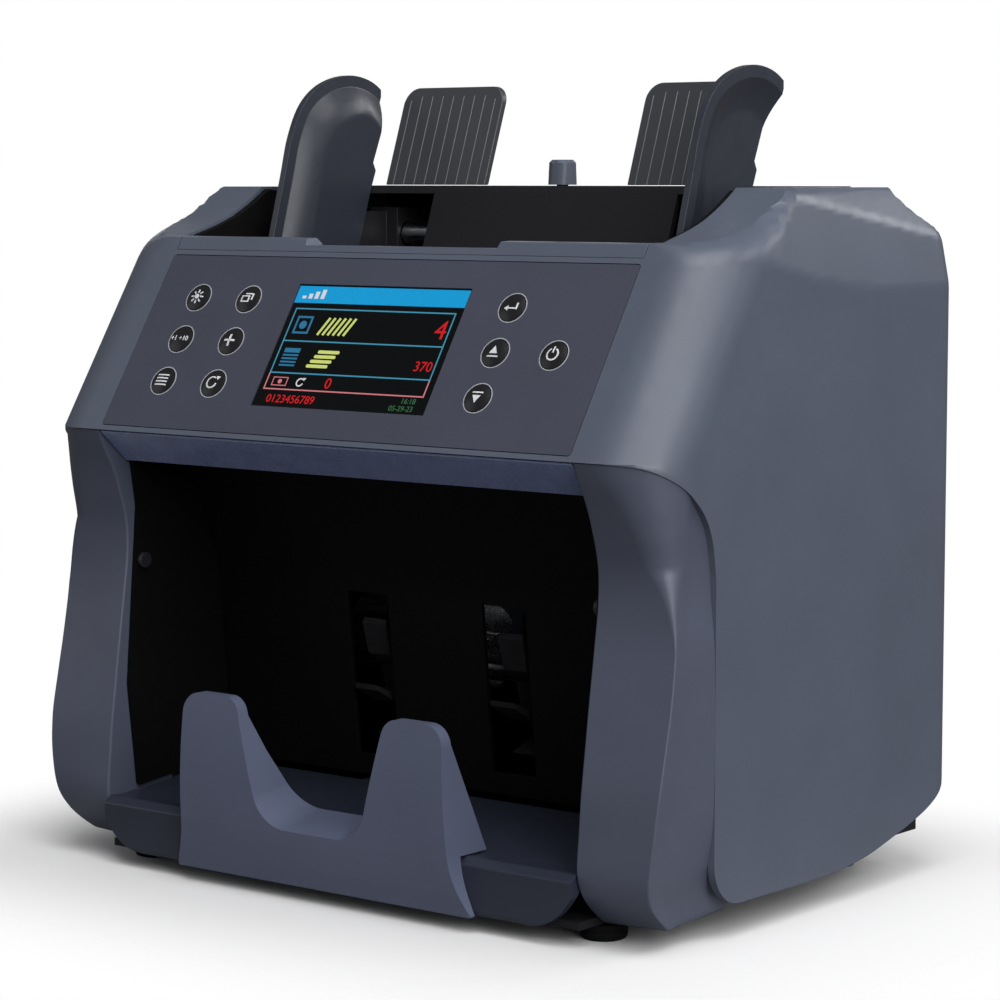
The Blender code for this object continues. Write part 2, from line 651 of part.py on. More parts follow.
def deck(materials):
    """Black cover behind the hopper: rear wall of the hopper, roof and pinion post."""
    side = HOPPER_X - 0.6
    wall_top = 224.0
    roof = [(119.9, 224.4), (121.0, 227.1), (151.0, 227.1), (152.4, 224.4), (156.3, 220.2),
            (162.0, 216.4), (168.9, 213.1), (171.2, 212.3), (171.2, 208.5), (168.5, 208.5),
            (168.5, 210.6), (160.6, 213.8), (154.5, 218.0), (150.0, 222.0), (149.2, 224.4)]
    cover = prism("deck_cover", roof, "x", -side, side, materials["black"])
    wall = [(plate_depth(wall_top + 1.0), wall_top + 1.0), (plate_depth(196.0), 196.0),
            (plate_depth(196.0) + 2.4, 196.0), (plate_depth(wall_top + 1.0) + 2.4, wall_top + 1.0)]
    bracket = block("bracket", (-9.0, 144.2, 200.0), (9.0, 147.0, 225.5))
    post = rod("pinion_post", "y", (0.0, RAIL[1]), 2.0, PINION_Y[0], 145.0, segments=16)
    join(cover, prism("hopper_wall", wall, "x", -52.0, 52.0), bracket, post)
    cut(cover, rod("knob_hole", "z", KNOB_AXIS, 2.0 + GAP, 221.0, 235.0, segments=16))

    pad = [(126.5, 178.0), (133.0, 184.0), (137.0, 181.5), (130.5, 175.3)]
    prism("separator_pad", pad, "x", -16.0, 16.0, materials["rubber"])

    profile = [(196.0, 2.0), (227.5, 2.0), (227.5, 4.9), (235.0, 4.6), (236.0, 3.6)]
    knob = turned("gap_adjust_knob", "z", KNOB_AXIS, profile, materials["casing"], 20)
    slot = block("screw_slot", (-0.5, 110.0, 234.8), (0.5, 140.0, 240.0))
    cut(knob, slot)


# ---------------------------------------------------------------- inner works

def side_frame(name, side, materials):
    """Steel plate that carries the shafts."""
    outline = rounded([(16.0, 24.5, 1.0), (58.0, 29.0, 1.0), (64.0, 9.0, 0), (164.0, 9.0, 4.0),
                       (164.0, 200.0, 6.0), (140.0, 219.0, 4.0), (126.0, 219.0, 3.0),
                       (118.0, 194.0, 3.0), (104.0, 181.5, 3.0), (50.0, 200.5, 4.0),
                       (17.0, 151.0, 4.0), (13.6, 141.0, 3.0), (17.0, 120.0, 10.0),
                       (12.0, 60.0, 10.0)], 3)
    low, high = sorted((side * FRAME_X, side * (FRAME_X - FRAME_SHEET)))
    plate = prism(name, outline, "x", low, high, materials["frame"])
    cut(plate, *[rod("shaft_hole", "x", axis, SHAFT_RADIUS + GAP, -140.0, 140.0, segments=16)
                 for axis in (PICKUP_AXIS, FEED_AXIS, STACKER_AXIS, MOTOR_AXIS)])


def sensor_eye(name, side, materials):
    """Round note sensor on the stacker's side wall."""
    low, high = sorted((side * (INNER_X - SENSOR_THICK), side * INNER_X))
    rod(name, "x", SENSOR_AXIS, SENSOR_RADIUS, low, high, materials["smoked"], 16)


def pulley_shaft(name, axis, pulley, materials):
    """Cross shaft with its flanged pulley on the left end."""
    profile = [(-114.0, SHAFT_RADIUS - 1.0), (BELT_X[0] - 1.0, SHAFT_RADIUS - 1.0),
               (BELT_X[0] - 1.0, pulley + 1.5), (BELT_X[0], pulley + 1.5), (BELT_X[0], pulley),
               (BELT_X[1], pulley), (BELT_X[1], pulley + 1.5), (BELT_X[1] + 1.0, pulley + 1.5),
               (BELT_X[1] + 1.0, SHAFT_RADIUS), (100.5, SHAFT_RADIUS)]
    turned(name, "x", axis, profile, materials["steel"], 16)


def shaft_set(name, axis, radius, pulley, roller_name, material, materials):
    """Shaft with its pulley, and its two rollers."""
    pulley_shaft(f"{name}_shaft", axis, pulley, materials)
    bore = SHAFT_RADIUS + GAP
    for word, side in (("left", -1), ("right", 1)):
        near, far = (side * edge for edge in ROLLER_X)
        loop = [(near, bore), (near, radius - 0.6), (near + side * 0.6, radius),
                (far - side * 0.6, radius), (far, radius - 0.6), (far, bore)]
        turned(f"{roller_name}_{word}", "x", axis, loop, materials[material], 16, bored=True,
               origin=((near + far) / 2, axis[0], axis[1]))


def stacker_wheel(name, side, materials):
    """Wheel with curved fins that lay the notes down in the tray."""
    fins = 8
    outline = []
    for fin in range(fins):
        base = math.tau * fin / fins
        for radius, turn in ((15.0, 0.0), (22.0, 0.20), (STACKER_RADIUS, 0.55),
                             (STACKER_RADIUS, 0.62), (21.5, 0.36), (15.0, 0.22)):
            outline.append((radius, base - turn))
    outline = sorted_spiral(outline, fins)
    flat = [(STACKER_AXIS[0] + r * math.cos(a), STACKER_AXIS[1] + r * math.sin(a))
            for r, a in outline]
    low, high = sorted((side * (ROLLER_X[0] + 2.0), side * (ROLLER_X[1] - 2.0)))
    wheel = prism(name, flat, "x", low, high, materials["roller"],
                  origin=((low + high) / 2, STACKER_AXIS[0], STACKER_AXIS[1]))
    cut(wheel, rod("wheel_bore", "x", STACKER_AXIS, SHAFT_RADIUS + GAP, -140.0, 140.0,
                   segments=16))


def sorted_spiral(outline, fins):
    """Walk the fins in reverse so that the outline runs one way round."""
    per_fin = len(outline) // fins
    groups = [outline[i * per_fin:(i + 1) * per_fin] for i in range(fins)]
    walked = []
    for group in groups[::-1]:
        walked += group
    return walked


def belt(materials):
    """Flat belt round the four pulleys on the left side."""
    stops = [(PICKUP_AXIS, PULLEYS["pickup"]), (FEED_AXIS, PULLEYS["feed"]),
             (MOTOR_AXIS, PULLEYS["motor"]), (STACKER_AXIS, PULLEYS["stacker"])]
    inner, outer = [], []
    for path, extra in ((inner, GAP), (outer, GAP + 1.2)):
        points = []
        for centre, radius in stops:
            points += circle(*centre, radius + extra, 32)
        path += convex_hull(points)
    low, high = BELT_X[0] + 0.4, BELT_X[1] - 0.4
    band = prism("drive_belt", outer, "x", low, high, materials["rubber"])
    cut(band, prism("belt_room", inner, "x", low - 5.0, high + 5.0))


def convex_hull(points):
    """Monotone-chain hull of plan points."""
    points = sorted(set((round(u, 5), round(v, 5)) for u, v in points))

    def chain(sequence):
        path = []
        for point in sequence:
            while len(path) > 1 and turn(path[-2], path[-1], point) <= 0:
                path.pop()
            path.append(point)
        return path[:-1]

    def turn(a, b, c):
        return (b[0] - a[0]) * (c[1] - a[1]) - (b[1] - a[1]) * (c[0] - a[0])

    return chain(points) + chain(points[::-1])


def drive(materials):
    """Motor on the left side frame with its own pulley."""
    body = turned("motor", "x", MOTOR_AXIS,
                  [(-96.2, MOTOR_RADIUS - 1.0), (-95.2, MOTOR_RADIUS), (-44.0, MOTOR_RADIUS),
                   (-42.5, MOTOR_RADIUS - 1.5), (-42.5, 6.0), (-38.0, 6.0)],
                  materials["steel"], 24)
    cut(body, rod("shaft_room", "x", MOTOR_AXIS, SHAFT_RADIUS + GAP, -110.0, -70.0, segments=16))
    pulley = PULLEYS["motor"]
    profile = [(BELT_X[0] - 1.0, pulley + 1.5), (BELT_X[0], pulley + 1.5), (BELT_X[0], pulley),
               (BELT_X[1], pulley), (BELT_X[1], pulley + 1.5), (BELT_X[1] + 1.0, pulley + 1.5),
               (BELT_X[1] + 1.0, SHAFT_RADIUS - 1.0), (-71.0, SHAFT_RADIUS - 1.0)]
    turned("motor_pulley", "x", MOTOR_AXIS, profile, materials["steel"], 16)


def electronics(materials):
    """Main board and power supply in the space beside the right side frame."""
    board = block("main_board", (104.0, 60.0, 84.0), (105.6, 160.0, 180.0), materials["board"])
    parts = [block("chip", (105.0, 90.0, 120.0), (108.0, 114.0, 144.0)),
             block("socket", (105.0, 132.0, 96.0), (115.0, 150.0, 108.0)),
             block("relay", (105.0, 72.0, 96.0), (118.0, 90.0, 110.0))]
    join(board, *parts)
    supply = block("power_supply", (102.0, 66.0, 22.0), (121.0, 150.0, 72.0), materials["frame"])
    soften(supply, 1.0, 1)


# ---------------------------------------------------------------- stand and back

def base(materials):
    """Base pan with its rear wall, and four rubber feet."""
    half = [(98.2, 5.3, 0), (98.2, 34.2, 0), (BASE_X, 34.2, 5.0), (BASE_X, 168.0, 3.0)]
    corners = half + [(-x, y, radius) for x, y, radius in half[::-1]]
    pan = prism("base_pan", rounded(corners), "z", BASE_Z[0], BASE_Z[1], materials["casing"])
    wall = block("rear_wall", (-BASE_X, 165.0, BASE_Z[0] + 0.5), (BASE_X, 167.6, 40.0))
    join(pan, wall)
    cut(pan, block("inlet_hole", (58.0 - GAP, 160.0, 13.0 - GAP), (86.0 + GAP, 172.0, 33.0 + GAP)),
        block("switch_hole", (31.0 - GAP, 160.0, 14.0 - GAP), (45.0 + GAP, 172.0, 34.0 + GAP)))
    for x in (-FOOT_X, FOOT_X):
        for y in FOOT_Y:
            cut(pan, rod("foot_hole", "z", (x, y), 2.0, 0.0, 20.0, segments=16))

    places = {"front_left": (-FOOT_X, FOOT_Y[0]), "front_right": (FOOT_X, FOOT_Y[0]),
              "rear_left": (-FOOT_X, FOOT_Y[1]), "rear_right": (FOOT_X, FOOT_Y[1])}
    for word, centre in places.items():
        profile = [(0.0, 6.6), (0.6, 7.0), (BASE_Z[0] - GAP, 8.0), (BASE_Z[0] - GAP, 1.7),
                   (BASE_Z[1] + 0.4, 1.7)]
        turned(f"foot_{word}", "z", centre, profile, materials["rubber"], 16)


def mains(materials):
    """Appliance inlet and rocker switch in the base's rear wall."""
    inlet = block("power_inlet", (58.0, 148.0, 13.0), (86.0, 168.8, 33.0), materials["black"])
    socket = rounded([(61.0, 16.0, 1.0), (83.0, 16.0, 1.0), (83.0, 27.0, 0), (79.5, 30.0, 0),
                      (64.5, 30.0, 0), (61.0, 27.0, 0)], 3)
    cut(inlet, prism("socket", socket, "y", 152.0, 175.0))
    pins = [block("pin", (x - 1.0, 150.0, z - 2.0), (x + 1.0, 165.0, z + 2.0))
            for x, z in ((65.0, 22.0), (79.0, 22.0), (72.0, 26.4))]
    join(inlet, *pins)

    origin = (38.0, 164.0, 24.0)
    rocker = rounded([(159.5, 20.0, 0), (159.5, 28.0, 0), (166.5, 33.0, 1.0), (168.0, 24.0, 0),
                      (168.9, 15.0, 1.0)], 3)
    prism("power_switch", rocker, "x", 32.0, 44.0, materials["key"], origin)


def rear_cover(materials):
    """Door over the note path, hinged low down, with its latch and sensor bar."""
    half = COVER_X - 0.8
    outline = [(REAR_Y - COVER_THICK, COVER_Z[0]), (REAR_Y, COVER_Z[0]), (REAR_Y, COVER_Z[1] - 8.0),
               (REAR_Y - 2.5, COVER_Z[1]), (REAR_Y - 5.0, COVER_Z[1]), (REAR_Y - 3.0 - 0.4, 196.0)]
    cover = prism("rear_cover", outline, "x", -half, half, materials["casing"],
                  origin=(0.0, HINGE[0], HINGE[1]))
    knuckles = []
    for low, high in ((-96.0, -70.0), (70.0, 96.0)):
        knuckles.append(prism("knuckle", circle(*HINGE, 3.4, 16), "x", low, high))
        knuckles.append(block("strap", (low, 172.0, HINGE[1]), (high, 174.7, 52.0)))
    join(cover, *knuckles)
    cut(cover, rod("pin_bore", "x", HINGE, HINGE_PIN_RADIUS + 0.1, -110.0, 110.0, segments=16),
        block("latch_slot", (-14.0 - GAP, 160.0, 186.0 - LATCH_TRAVEL - GAP),
              (14.0 + GAP, 180.0, 198.0 + GAP)))
    for row in range(6):
        z = 70.0 + 8.0 * row
        cut(cover, prism("louvre", rectangle(-45.0, z, 45.0, z + 2.6), "y", 160.0, 180.0))

    rod("rear_hinge_pin", "x", HINGE, HINGE_PIN_RADIUS, -104.0, 104.0, materials["steel"], 16)
    latch = block("rear_cover_latch", (-14.0, 169.0, 186.0), (14.0, 175.4, 198.0),
                  materials["black"], origin=(0.0, 172.5, 198.0))
    join(latch, block("tongue", (-10.0, 169.0, 197.0), (10.0, 170.6, 208.0)))
    bar = block("sensor_bar", (-92.0, 158.0, 112.0), (92.0, 172.3, 128.0), materials["black"],
                origin=(0.0, 165.0, 120.0))
    cut(bar, block("glass_recess", (-88.0, 150.0, 116.0), (88.0, 159.0, 124.0)))


def remove_everything():
    for thing in list(bpy.data.objects):
        bpy.data.objects.remove(thing)


def build():
    remove_everything()
    materials = make_materials()
    outer_case(materials)
    control_panel(materials)
    for word, side in (("left", -1), ("right", 1)):
        cheek(f"cheek_{word}", side, materials)
        side_frame(f"side_frame_{word}", side, materials)
        sensor_eye(f"stacker_sensor_{word}", side, materials)
        hopper_guide(f"hopper_guide_{word}", side, materials)
        ribbed_plate(f"back_plate_{word}", side, materials)
        stacker_wheel(f"stacker_wheel_{word}", side, materials)
    stacker(materials)
    hopper(materials)
    guide_drive(materials)
    deck(materials)
    shaft_set("pickup", PICKUP_AXIS, PICKUP_RADIUS, PULLEYS["pickup"], "pickup_roller",
              "roller", materials)
    shaft_set("feed", FEED_AXIS, FEED_RADIUS, PULLEYS["feed"], "feed_roller",
              "roller", materials)
    pulley_shaft("stacker_shaft", STACKER_AXIS, PULLEYS["stacker"], materials)
    belt(materials)
    drive(materials)
    electronics(materials)
    base(materials)
    mains(materials)
    rear_cover(materials)


build()
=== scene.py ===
"""Looks of the banknote counting machine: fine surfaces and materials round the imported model.

Sizes are in millimetres in the machine's drafting frame: X to its right, Y backwards from the
nose of the hood, Z up from the table. at() turns a point into the frame's metres.
"""

import math

import bmesh
import bpy
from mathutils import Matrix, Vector

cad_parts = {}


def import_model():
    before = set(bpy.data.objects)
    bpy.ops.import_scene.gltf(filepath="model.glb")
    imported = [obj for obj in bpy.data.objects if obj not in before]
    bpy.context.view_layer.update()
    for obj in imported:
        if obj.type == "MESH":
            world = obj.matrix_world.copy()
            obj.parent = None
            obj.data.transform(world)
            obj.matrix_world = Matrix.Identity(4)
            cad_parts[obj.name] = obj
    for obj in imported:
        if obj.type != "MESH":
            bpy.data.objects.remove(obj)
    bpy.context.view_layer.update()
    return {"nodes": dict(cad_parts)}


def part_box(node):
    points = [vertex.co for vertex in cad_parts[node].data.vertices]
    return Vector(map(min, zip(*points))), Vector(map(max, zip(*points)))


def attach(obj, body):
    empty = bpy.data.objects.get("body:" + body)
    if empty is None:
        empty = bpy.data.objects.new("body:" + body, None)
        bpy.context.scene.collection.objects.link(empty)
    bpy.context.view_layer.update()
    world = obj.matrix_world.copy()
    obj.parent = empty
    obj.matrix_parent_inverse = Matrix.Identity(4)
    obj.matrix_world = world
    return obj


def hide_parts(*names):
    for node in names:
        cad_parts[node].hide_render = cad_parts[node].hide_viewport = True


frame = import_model()

MM = 0.001
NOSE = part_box("outer_case")[0].y     # the frame's Y at the nose
GAP = 0.3

# Casing
HALF_WIDTH = 127.5
REAR_Y = 176.0
FRONT_CORNER = 23.0
REAR_CORNER = 12.0
WALL = 2.5
NOSE_Z = 146.8
PANEL_SLOPE = math.radians(57.4)
HOPPER_EDGE_Z = 209.9
PANEL_EDGE_Y = 33.6
CREASE = (134.0, 195.4)
CREASE_REACH = 95.0
CREASE_RISE = 15.0
SIDE_LEAN = 0.2
SHOULDER_LINE = (69.5, 226.5)
SHOULDER_FALL = 0.157
SHOULDER_LEAN = 0.55
CREASE_BLEND = 2.2       # half the height over which a crease is rounded
DECK_UNDER = 224.0

# Openings
OPENING_X = 98.5
INNER_X = 96.5
HOPPER_X = 100.0
COVER_X = 107.0

# Control panel
BEZEL_X = 97.2
BEZEL_SLOPE = (2.1, 67.7)
BEZEL_THICK = 2.0
KEY_RADIUS = 4.8
SIGN_STEP = 0.7          # longest stretch of a mark laid on a domed key
KEY_ROWS = (51.3, 35.3, 19.4)
KEY_COLUMNS = (55.2, 77.8)
SCREEN_X = (-35.5, 36.3)
SCREEN_SLOPE = (12.7, 57.5)
SCREEN_FACE = -0.45

# Hopper
LIP_SLOPE = 70.05        # where the hopper's lip starts up the panel's slope
FEED_SLOPE = 0.354
LEAN = 0.354
PLATE_TOP = (133.0, 261.6)
PLATE_THICK = 2.6
PLATE_X = (30.5, 75.3)
GUIDE_X = 80.0
GUIDE_SHEET = 2.4
GUIDE_FLARE = 4.6
RAIL = (133.0, 210.0)
RAIL_RADIUS = 4.0

BASE_X = 104.5

# Camera, worked out from the machine's own edges
CAMERA_PLACE = (0.6493, -0.8144, 0.2298)
CAMERA_AZIMUTH = 38.33
CAMERA_PITCH = 5.876
CAMERA_LENS = 112.65


# ---- materials

def base_material(name, colour, roughness, metallic=0.0):
    """Principled material; returns its tree and shader too."""
    material = bpy.data.materials.new(name)
    material.use_nodes = True
    tree = material.node_tree
    shader = tree.nodes["Principled BSDF"]
    shader.inputs["Base Color"].default_value = (*colour, 1.0)
    shader.inputs["Roughness"].default_value = roughness
    shader.inputs["Metallic"].default_value = metallic
    return material, tree, shader


def node(tree, kind, **values):
    """New shader node with values on its inputs; an underscore stands for a space."""
    made = tree.nodes.new("ShaderNode" + kind)
    for name, value in values.items():
        made.inputs[name.replace("_", " ")].default_value = value
    return made


def noise(tree, size, detail=2.0, stretch=(1.0, 1.0, 1.0)):
    """Noise whose features are about `size` millimetres across."""
    place = node(tree, "TexCoord")
    scaling = node(tree, "Mapping", Scale=stretch)
    source = node(tree, "TexNoise", Scale=1.0 / (size * MM), Detail=detail)
    tree.links.new(place.outputs["Object"], scaling.inputs["Vector"])
    tree.links.new(scaling.outputs["Vector"], source.inputs["Vector"])
    return source.outputs["Fac"]


def spread(tree, value, low, high):
    """Map the middle of a noise onto a range."""
    ramp = node(tree, "MapRange", From_Min=0.3, From_Max=0.7, To_Min=low, To_Max=high)
    tree.links.new(value, ramp.inputs["Value"])
    return ramp.outputs["Result"]


def mottle(tree, shader, colour, amount, size):
    """Slow colour drift round the base colour."""
    mix = node(tree, "Mix")
    mix.data_type = "RGBA"
    low, high = mix.inputs[6], mix.inputs[7]
    low.default_value = (*(c * (1 - amount) for c in colour), 1.0)
    high.default_value = (*(c * (1 + amount) for c in colour), 1.0)
    tree.links.new(spread(tree, noise(tree, size, 3.0), 0.0, 1.0), mix.inputs[0])
    tree.links.new(mix.outputs[2], shader.inputs["Base Color"])


def grain(tree, shader, height, strength, depth):
    """Bump from a height value, its depth in millimetres."""
    bump = node(tree, "Bump", Strength=strength, Distance=depth * MM)
    tree.links.new(height, bump.inputs["Height"])
    tree.links.new(bump.outputs["Normal"], shader.inputs["Normal"])


def moulded(name, colour, roughness, texture=0.35, size=0.5, drift=0.05, specular=0.5):
    """Moulded plastic: fine eroded grain, uneven gloss and a slow drift of colour."""
    material, tree, shader = base_material(name, colour, roughness)
    shader.inputs["Specular IOR Level"].default_value = specular
    mottle(tree, shader, colour, drift, 30.0)
    gloss = spread(tree, noise(tree, 4.0, 4.0), roughness - 0.04, roughness + 0.05)
    tree.links.new(gloss, shader.inputs["Roughness"])
    grain(tree, shader, noise(tree, size, 2.0), texture, 0.02)
    return material


def brushed(name, colour, roughness, stretch):
    """Drawn or rolled metal with fine lines along one axis."""
    material, tree, shader = base_material(name, colour, roughness, 1.0)
    mottle(tree, shader, colour, 0.08, 12.0)
    lines = noise(tree, 0.6, 3.0, stretch)
    tree.links.new(spread(tree, lines, roughness - 0.08, roughness + 0.12),
                   shader.inputs["Roughness"])
    grain(tree, shader, lines, 0.2, 0.02)
    return material


def rubber(name, colour, size):
    material, tree, shader = base_material(name, colour, 0.8)
    shader.inputs["Specular IOR Level"].default_value = 0.15
    mottle(tree, shader, colour, 0.15, 5.0)
    grain(tree, shader, noise(tree, size, 4.0), 0.5, 0.08)
    return material


def glossy(name, colour, roughness, coat, specular=0.5):
    """Smooth clear-coated piece with faint dust in its gloss."""
    material, tree, shader = base_material(name, colour, roughness)
    mottle(tree, shader, colour, 0.1, 8.0)
    shader.inputs["Specular IOR Level"].default_value = specular
    shader.inputs["Coat Weight"].default_value = coat
    shader.inputs["Coat Roughness"].default_value = 0.05
    dust = spread(tree, noise(tree, 1.5, 5.0), roughness, roughness + 0.06)
    tree.links.new(dust, shader.inputs["Roughness"])
    return material


def lit(name, colour, strength):
    """Lit part of the display, slightly uneven."""
    material, tree, shader = base_material(name, (0.0, 0.0, 0.0), 0.4)
    shader.inputs["Emission Color"].default_value = (*colour, 1.0)
    glow = spread(tree, noise(tree, 0.4, 1.0), strength * 0.9, strength * 1.1)
    tree.links.new(glow, shader.inputs["Emission Strength"])
    return material


def circuit(name):
    """Green board with a darker pattern of tracks."""
    material, tree, shader = base_material(name, (0.01, 0.09, 0.035), 0.45)
    place = node(tree, "TexCoord")
    tracks = node(tree, "TexBrick", Color1=(0.012, 0.11, 0.04, 1.0),
                  Color2=(0.008, 0.08, 0.03, 1.0), Mortar=(0.02, 0.17, 0.07, 1.0),
                  Scale=180.0, Mortar_Size=0.04)
    tree.links.new(place.outputs["Object"], tracks.inputs["Vector"])
    tree.links.new(tracks.outputs["Color"], shader.inputs["Base Color"])
    grain(tree, shader, tracks.outputs["Fac"], 0.2, 0.05)
    return material


MOULDED = {
    "casing": ((0.088, 0.104, 0.142), 0.36, {}),
    "cheek": ((0.08, 0.091, 0.133), 0.38, {}),
    "panel": ((0.048, 0.052, 0.08), 0.6, {"size": 0.35}),
    "guard": ((0.104, 0.12, 0.186), 0.36, {}),
    "ledge": ((0.023, 0.027, 0.045), 0.38, {}),
    "guide": ((0.029, 0.033, 0.046), 0.31, {"texture": 0.08, "drift": 0.03}),
    "plate": ((0.044, 0.047, 0.055), 0.34, {"texture": 0.2}),
    # inside: near black, darker than the black plastics: partly the parts' own black, partly
    # painted shade of the machine's interior
    "inside": ((0.002, 0.002, 0.0025), 0.6, {"size": 0.6, "specular": 0.15}),
    "base": ((0.009, 0.009, 0.012), 0.62, {"size": 0.6, "specular": 0.3}),
    "black": ((0.014, 0.014, 0.017), 0.42, {}),
}
LIT = {
    "cyan": ((0.0, 0.3, 0.62), 1.0), "line": ((0.05, 0.3, 0.45), 0.9),
    "icon": ((0.02, 0.17, 0.32), 0.9), "lime": ((0.6, 0.68, 0.18), 0.95),
    "red": ((0.6, 0.005, 0.01), 0.95), "pink": ((0.66, 0.2, 0.23), 0.9),
    "white": ((0.7, 0.72, 0.75), 0.9), "green": ((0.03, 0.14, 0.05), 0.9),
}


def make_materials():
    made = {finish: moulded(f"{finish}_plastic", colour, roughness, **more)
            for finish, (colour, roughness, more) in MOULDED.items()}
    made.update({finish: lit(f"display_{finish}", *look) for finish, look in LIT.items()})
    made.update({
        "key": glossy("key_plastic", (0.006, 0.006, 0.008), 0.34, 0.15),
        "glass": glossy("screen_glass", (0.002, 0.0025, 0.003), 0.08, 0.1, 0.25),
        # the visor's light blue base is partly the lens's own blue tint and partly a painted
        # reflection
        "smoked": glossy("smoked_plastic", (0.22, 0.265, 0.46), 0.25, 0.5),
        "foot": rubber("foot_rubber", (0.004, 0.004, 0.004), 0.5),
        "belt": rubber("belt_rubber", (0.016, 0.016, 0.018), 0.3),
        "roller": rubber("roller_rubber", (0.3, 0.075, 0.035), 0.35),
        "shaft": brushed("shaft_steel", (0.5, 0.51, 0.53), 0.25, (0.05, 1.0, 1.0)),
        "frame": brushed("frame_steel", (0.2, 0.21, 0.22), 0.42, (1.0, 0.05, 1.0)),
        "board": circuit("circuit_board"),
        "mark": moulded("white_mark", (0.72, 0.73, 0.75), 0.45, texture=0.1),
        "ring": moulded("ring_grey", (0.42, 0.43, 0.47), 0.35, texture=0.1),
        # the ribs' lighter grey than the plate is a painted highlight along each rib
        "rib": moulded("rib_painted_highlight", (0.13, 0.137, 0.15), 0.4, texture=0.1),
    })
    return made


# ---- outlines

def rounded(corners, steps=8):
    """Closed outline from (u, v, radius) corners, each fillet in `steps` pieces."""
    outline = []
    count = len(corners)
    for index, (u, v, radius) in enumerate(corners):
        here = Vector((u, v))
        if radius <= 0:
            outline.append((u, v))
            continue
        before = (Vector(corners[index - 1][:2]) - here).normalized()
        after = (Vector(corners[(index + 1) % count][:2]) - here).normalized()
        half = before.angle(after) / 2
        reach = radius / math.tan(half)
        centre = here + (before + after).normalized() * radius / math.sin(half)
        start = (here + before * reach - centre).normalized()
        end = (here + after * reach - centre).normalized()
        for step in range(steps + 1):
            outline.append(tuple(centre + start.slerp(end, step / steps) * radius))
    return outline


def rectangle(u0, v0, u1, v1, radius=0.0):
    return rounded([(u0, v0, radius), (u1, v0, radius), (u1, v1, radius), (u0, v1, radius)])


def circle(centre_u, centre_v, radius, segments=48):
    return [(centre_u + radius * math.cos(math.tau * i / segments),
             centre_v + radius * math.sin(math.tau * i / segments)) for i in range(segments)]


def smooth_path(points, steps=4):
    """Open Catmull-Rom curve through the points."""
    path = []
    last = len(points) - 1
    for index in range(last):
        p0, p1 = points[max(index - 1, 0)], points[index]
        p2, p3 = points[index + 1], points[min(index + 2, last)]
        for step in range(steps):
            t = step / steps
            path.append(tuple(
                0.5 * (2 * b + (c - a) * t + (2 * a - 5 * b + 4 * c - d) * t * t
                       + (3 * b - a - 3 * c + d) * t ** 3)
                for a, b, c, d in zip(p0, p1, p2, p3)))
    path.append(tuple(points[last]))
    return path


def offset_path(points, distance):
    """The same open path moved to its left, with mitred corners."""
    normals = []
    for start, end in zip(points, points[1:]):
        along = (Vector(end) - Vector(start)).normalized()
        normals.append(Vector((-along.y, along.x)))
    moved = []
    for point, before, after in zip(points, normals[:1] + normals, normals + normals[-1:]):
        bisector = (before + after).normalized()
        moved.append(tuple(Vector(point) + bisector * distance / bisector.dot(before)))
    return moved


# ---- solids

def at(x, y, z):
    return Vector((x * MM, y * MM + NOSE, z * MM))


def place_in_scene(name, data):
    thing = bpy.data.objects.new(name, data)
    bpy.context.scene.collection.objects.link(thing)
    return thing


def finished_mesh(thing):
    """New mesh of an object with its modifiers applied."""
    bpy.context.view_layer.update()
    graph = bpy.context.evaluated_depsgraph_get()
    return bpy.data.meshes.new_from_object(thing.evaluated_get(graph))


def make(name, bm, sharp=35.0):
    """Turn a bmesh drawn in the drafting frame into an object."""
    for vertex in bm.verts:
        vertex.co = at(*vertex.co)
    bmesh.ops.recalc_face_normals(bm, faces=bm.faces)
    if bm.calc_volume(signed=True) < 0:
        bmesh.ops.reverse_faces(bm, faces=bm.faces)
    mesh = bpy.data.meshes.new(name)
    bm.to_mesh(mesh)
    bm.free()
    mesh.shade_smooth()
    mesh.set_sharp_from_angle(angle=math.radians(sharp))
    return place_in_scene(name, mesh)


def band(bm, lower, upper):
    """Side faces between two loops of equal length."""
    for i in range(len(lower)):
        j = (i + 1) % len(lower)
        bm.faces.new((lower[i], lower[j], upper[j], upper[i]))


def bridge(bm, loops):
    """Side faces and both flat ends over a row of loops."""
    for lower, upper in zip(loops, loops[1:]):
        band(bm, lower, upper)
    bm.faces.new(loops[0][::-1])
    bm.faces.new(loops[-1])


def skin(name, rings, closed_path=False, sharp=35.0):
    """Solid skinned over rings of equal length, with flat ends unless the path is closed."""
    bm = bmesh.new()
    loops = [[bm.verts.new(point) for point in ring] for ring in rings]
    if closed_path:
        for lower, upper in zip(loops, loops[1:] + loops[:1]):
            band(bm, lower, upper)
    else:
        bridge(bm, loops)
    return make(name, bm, sharp)


PLACE = {
    "x": lambda u, v, w: (w, u, v),
    "y": lambda u, v, w: (u, w, v),
    "z": lambda u, v, w: (u, v, w),
}


def prism(name, outline, axis, low, high, sharp=35.0):
    """Outline extruded along an axis: (y, z) along x, (x, z) along y, (x, y) along z."""
    place = PLACE[axis]
    return skin(name, [[place(u, v, w) for u, v in outline] for w in (low, high)], sharp=sharp)


def span(side, near, far):
    """Lowest and highest x of a stretch on one side of the machine."""
    return sorted((side * near, side * far))


def block(name, low, high):
    return prism(name, rectangle(low[0], low[1], high[0], high[1]), "z", low[2], high[2])


def turned(name, axis, centre, profile, segments=48, bored=False):
    """Solid of revolution. profile holds (along, radius); a bored one is a closed loop."""
    place = PLACE[axis]
    rings = [[place(u, v, along) for u, v in circle(*centre, radius, segments)]
             for along, radius in profile]
    return skin(name, rings, closed_path=bored, sharp=40.0)


def rod(name, axis, centre, radius, low, high, segments=48):
    return turned(name, axis, centre, [(low, radius), (high, radius)], segments)


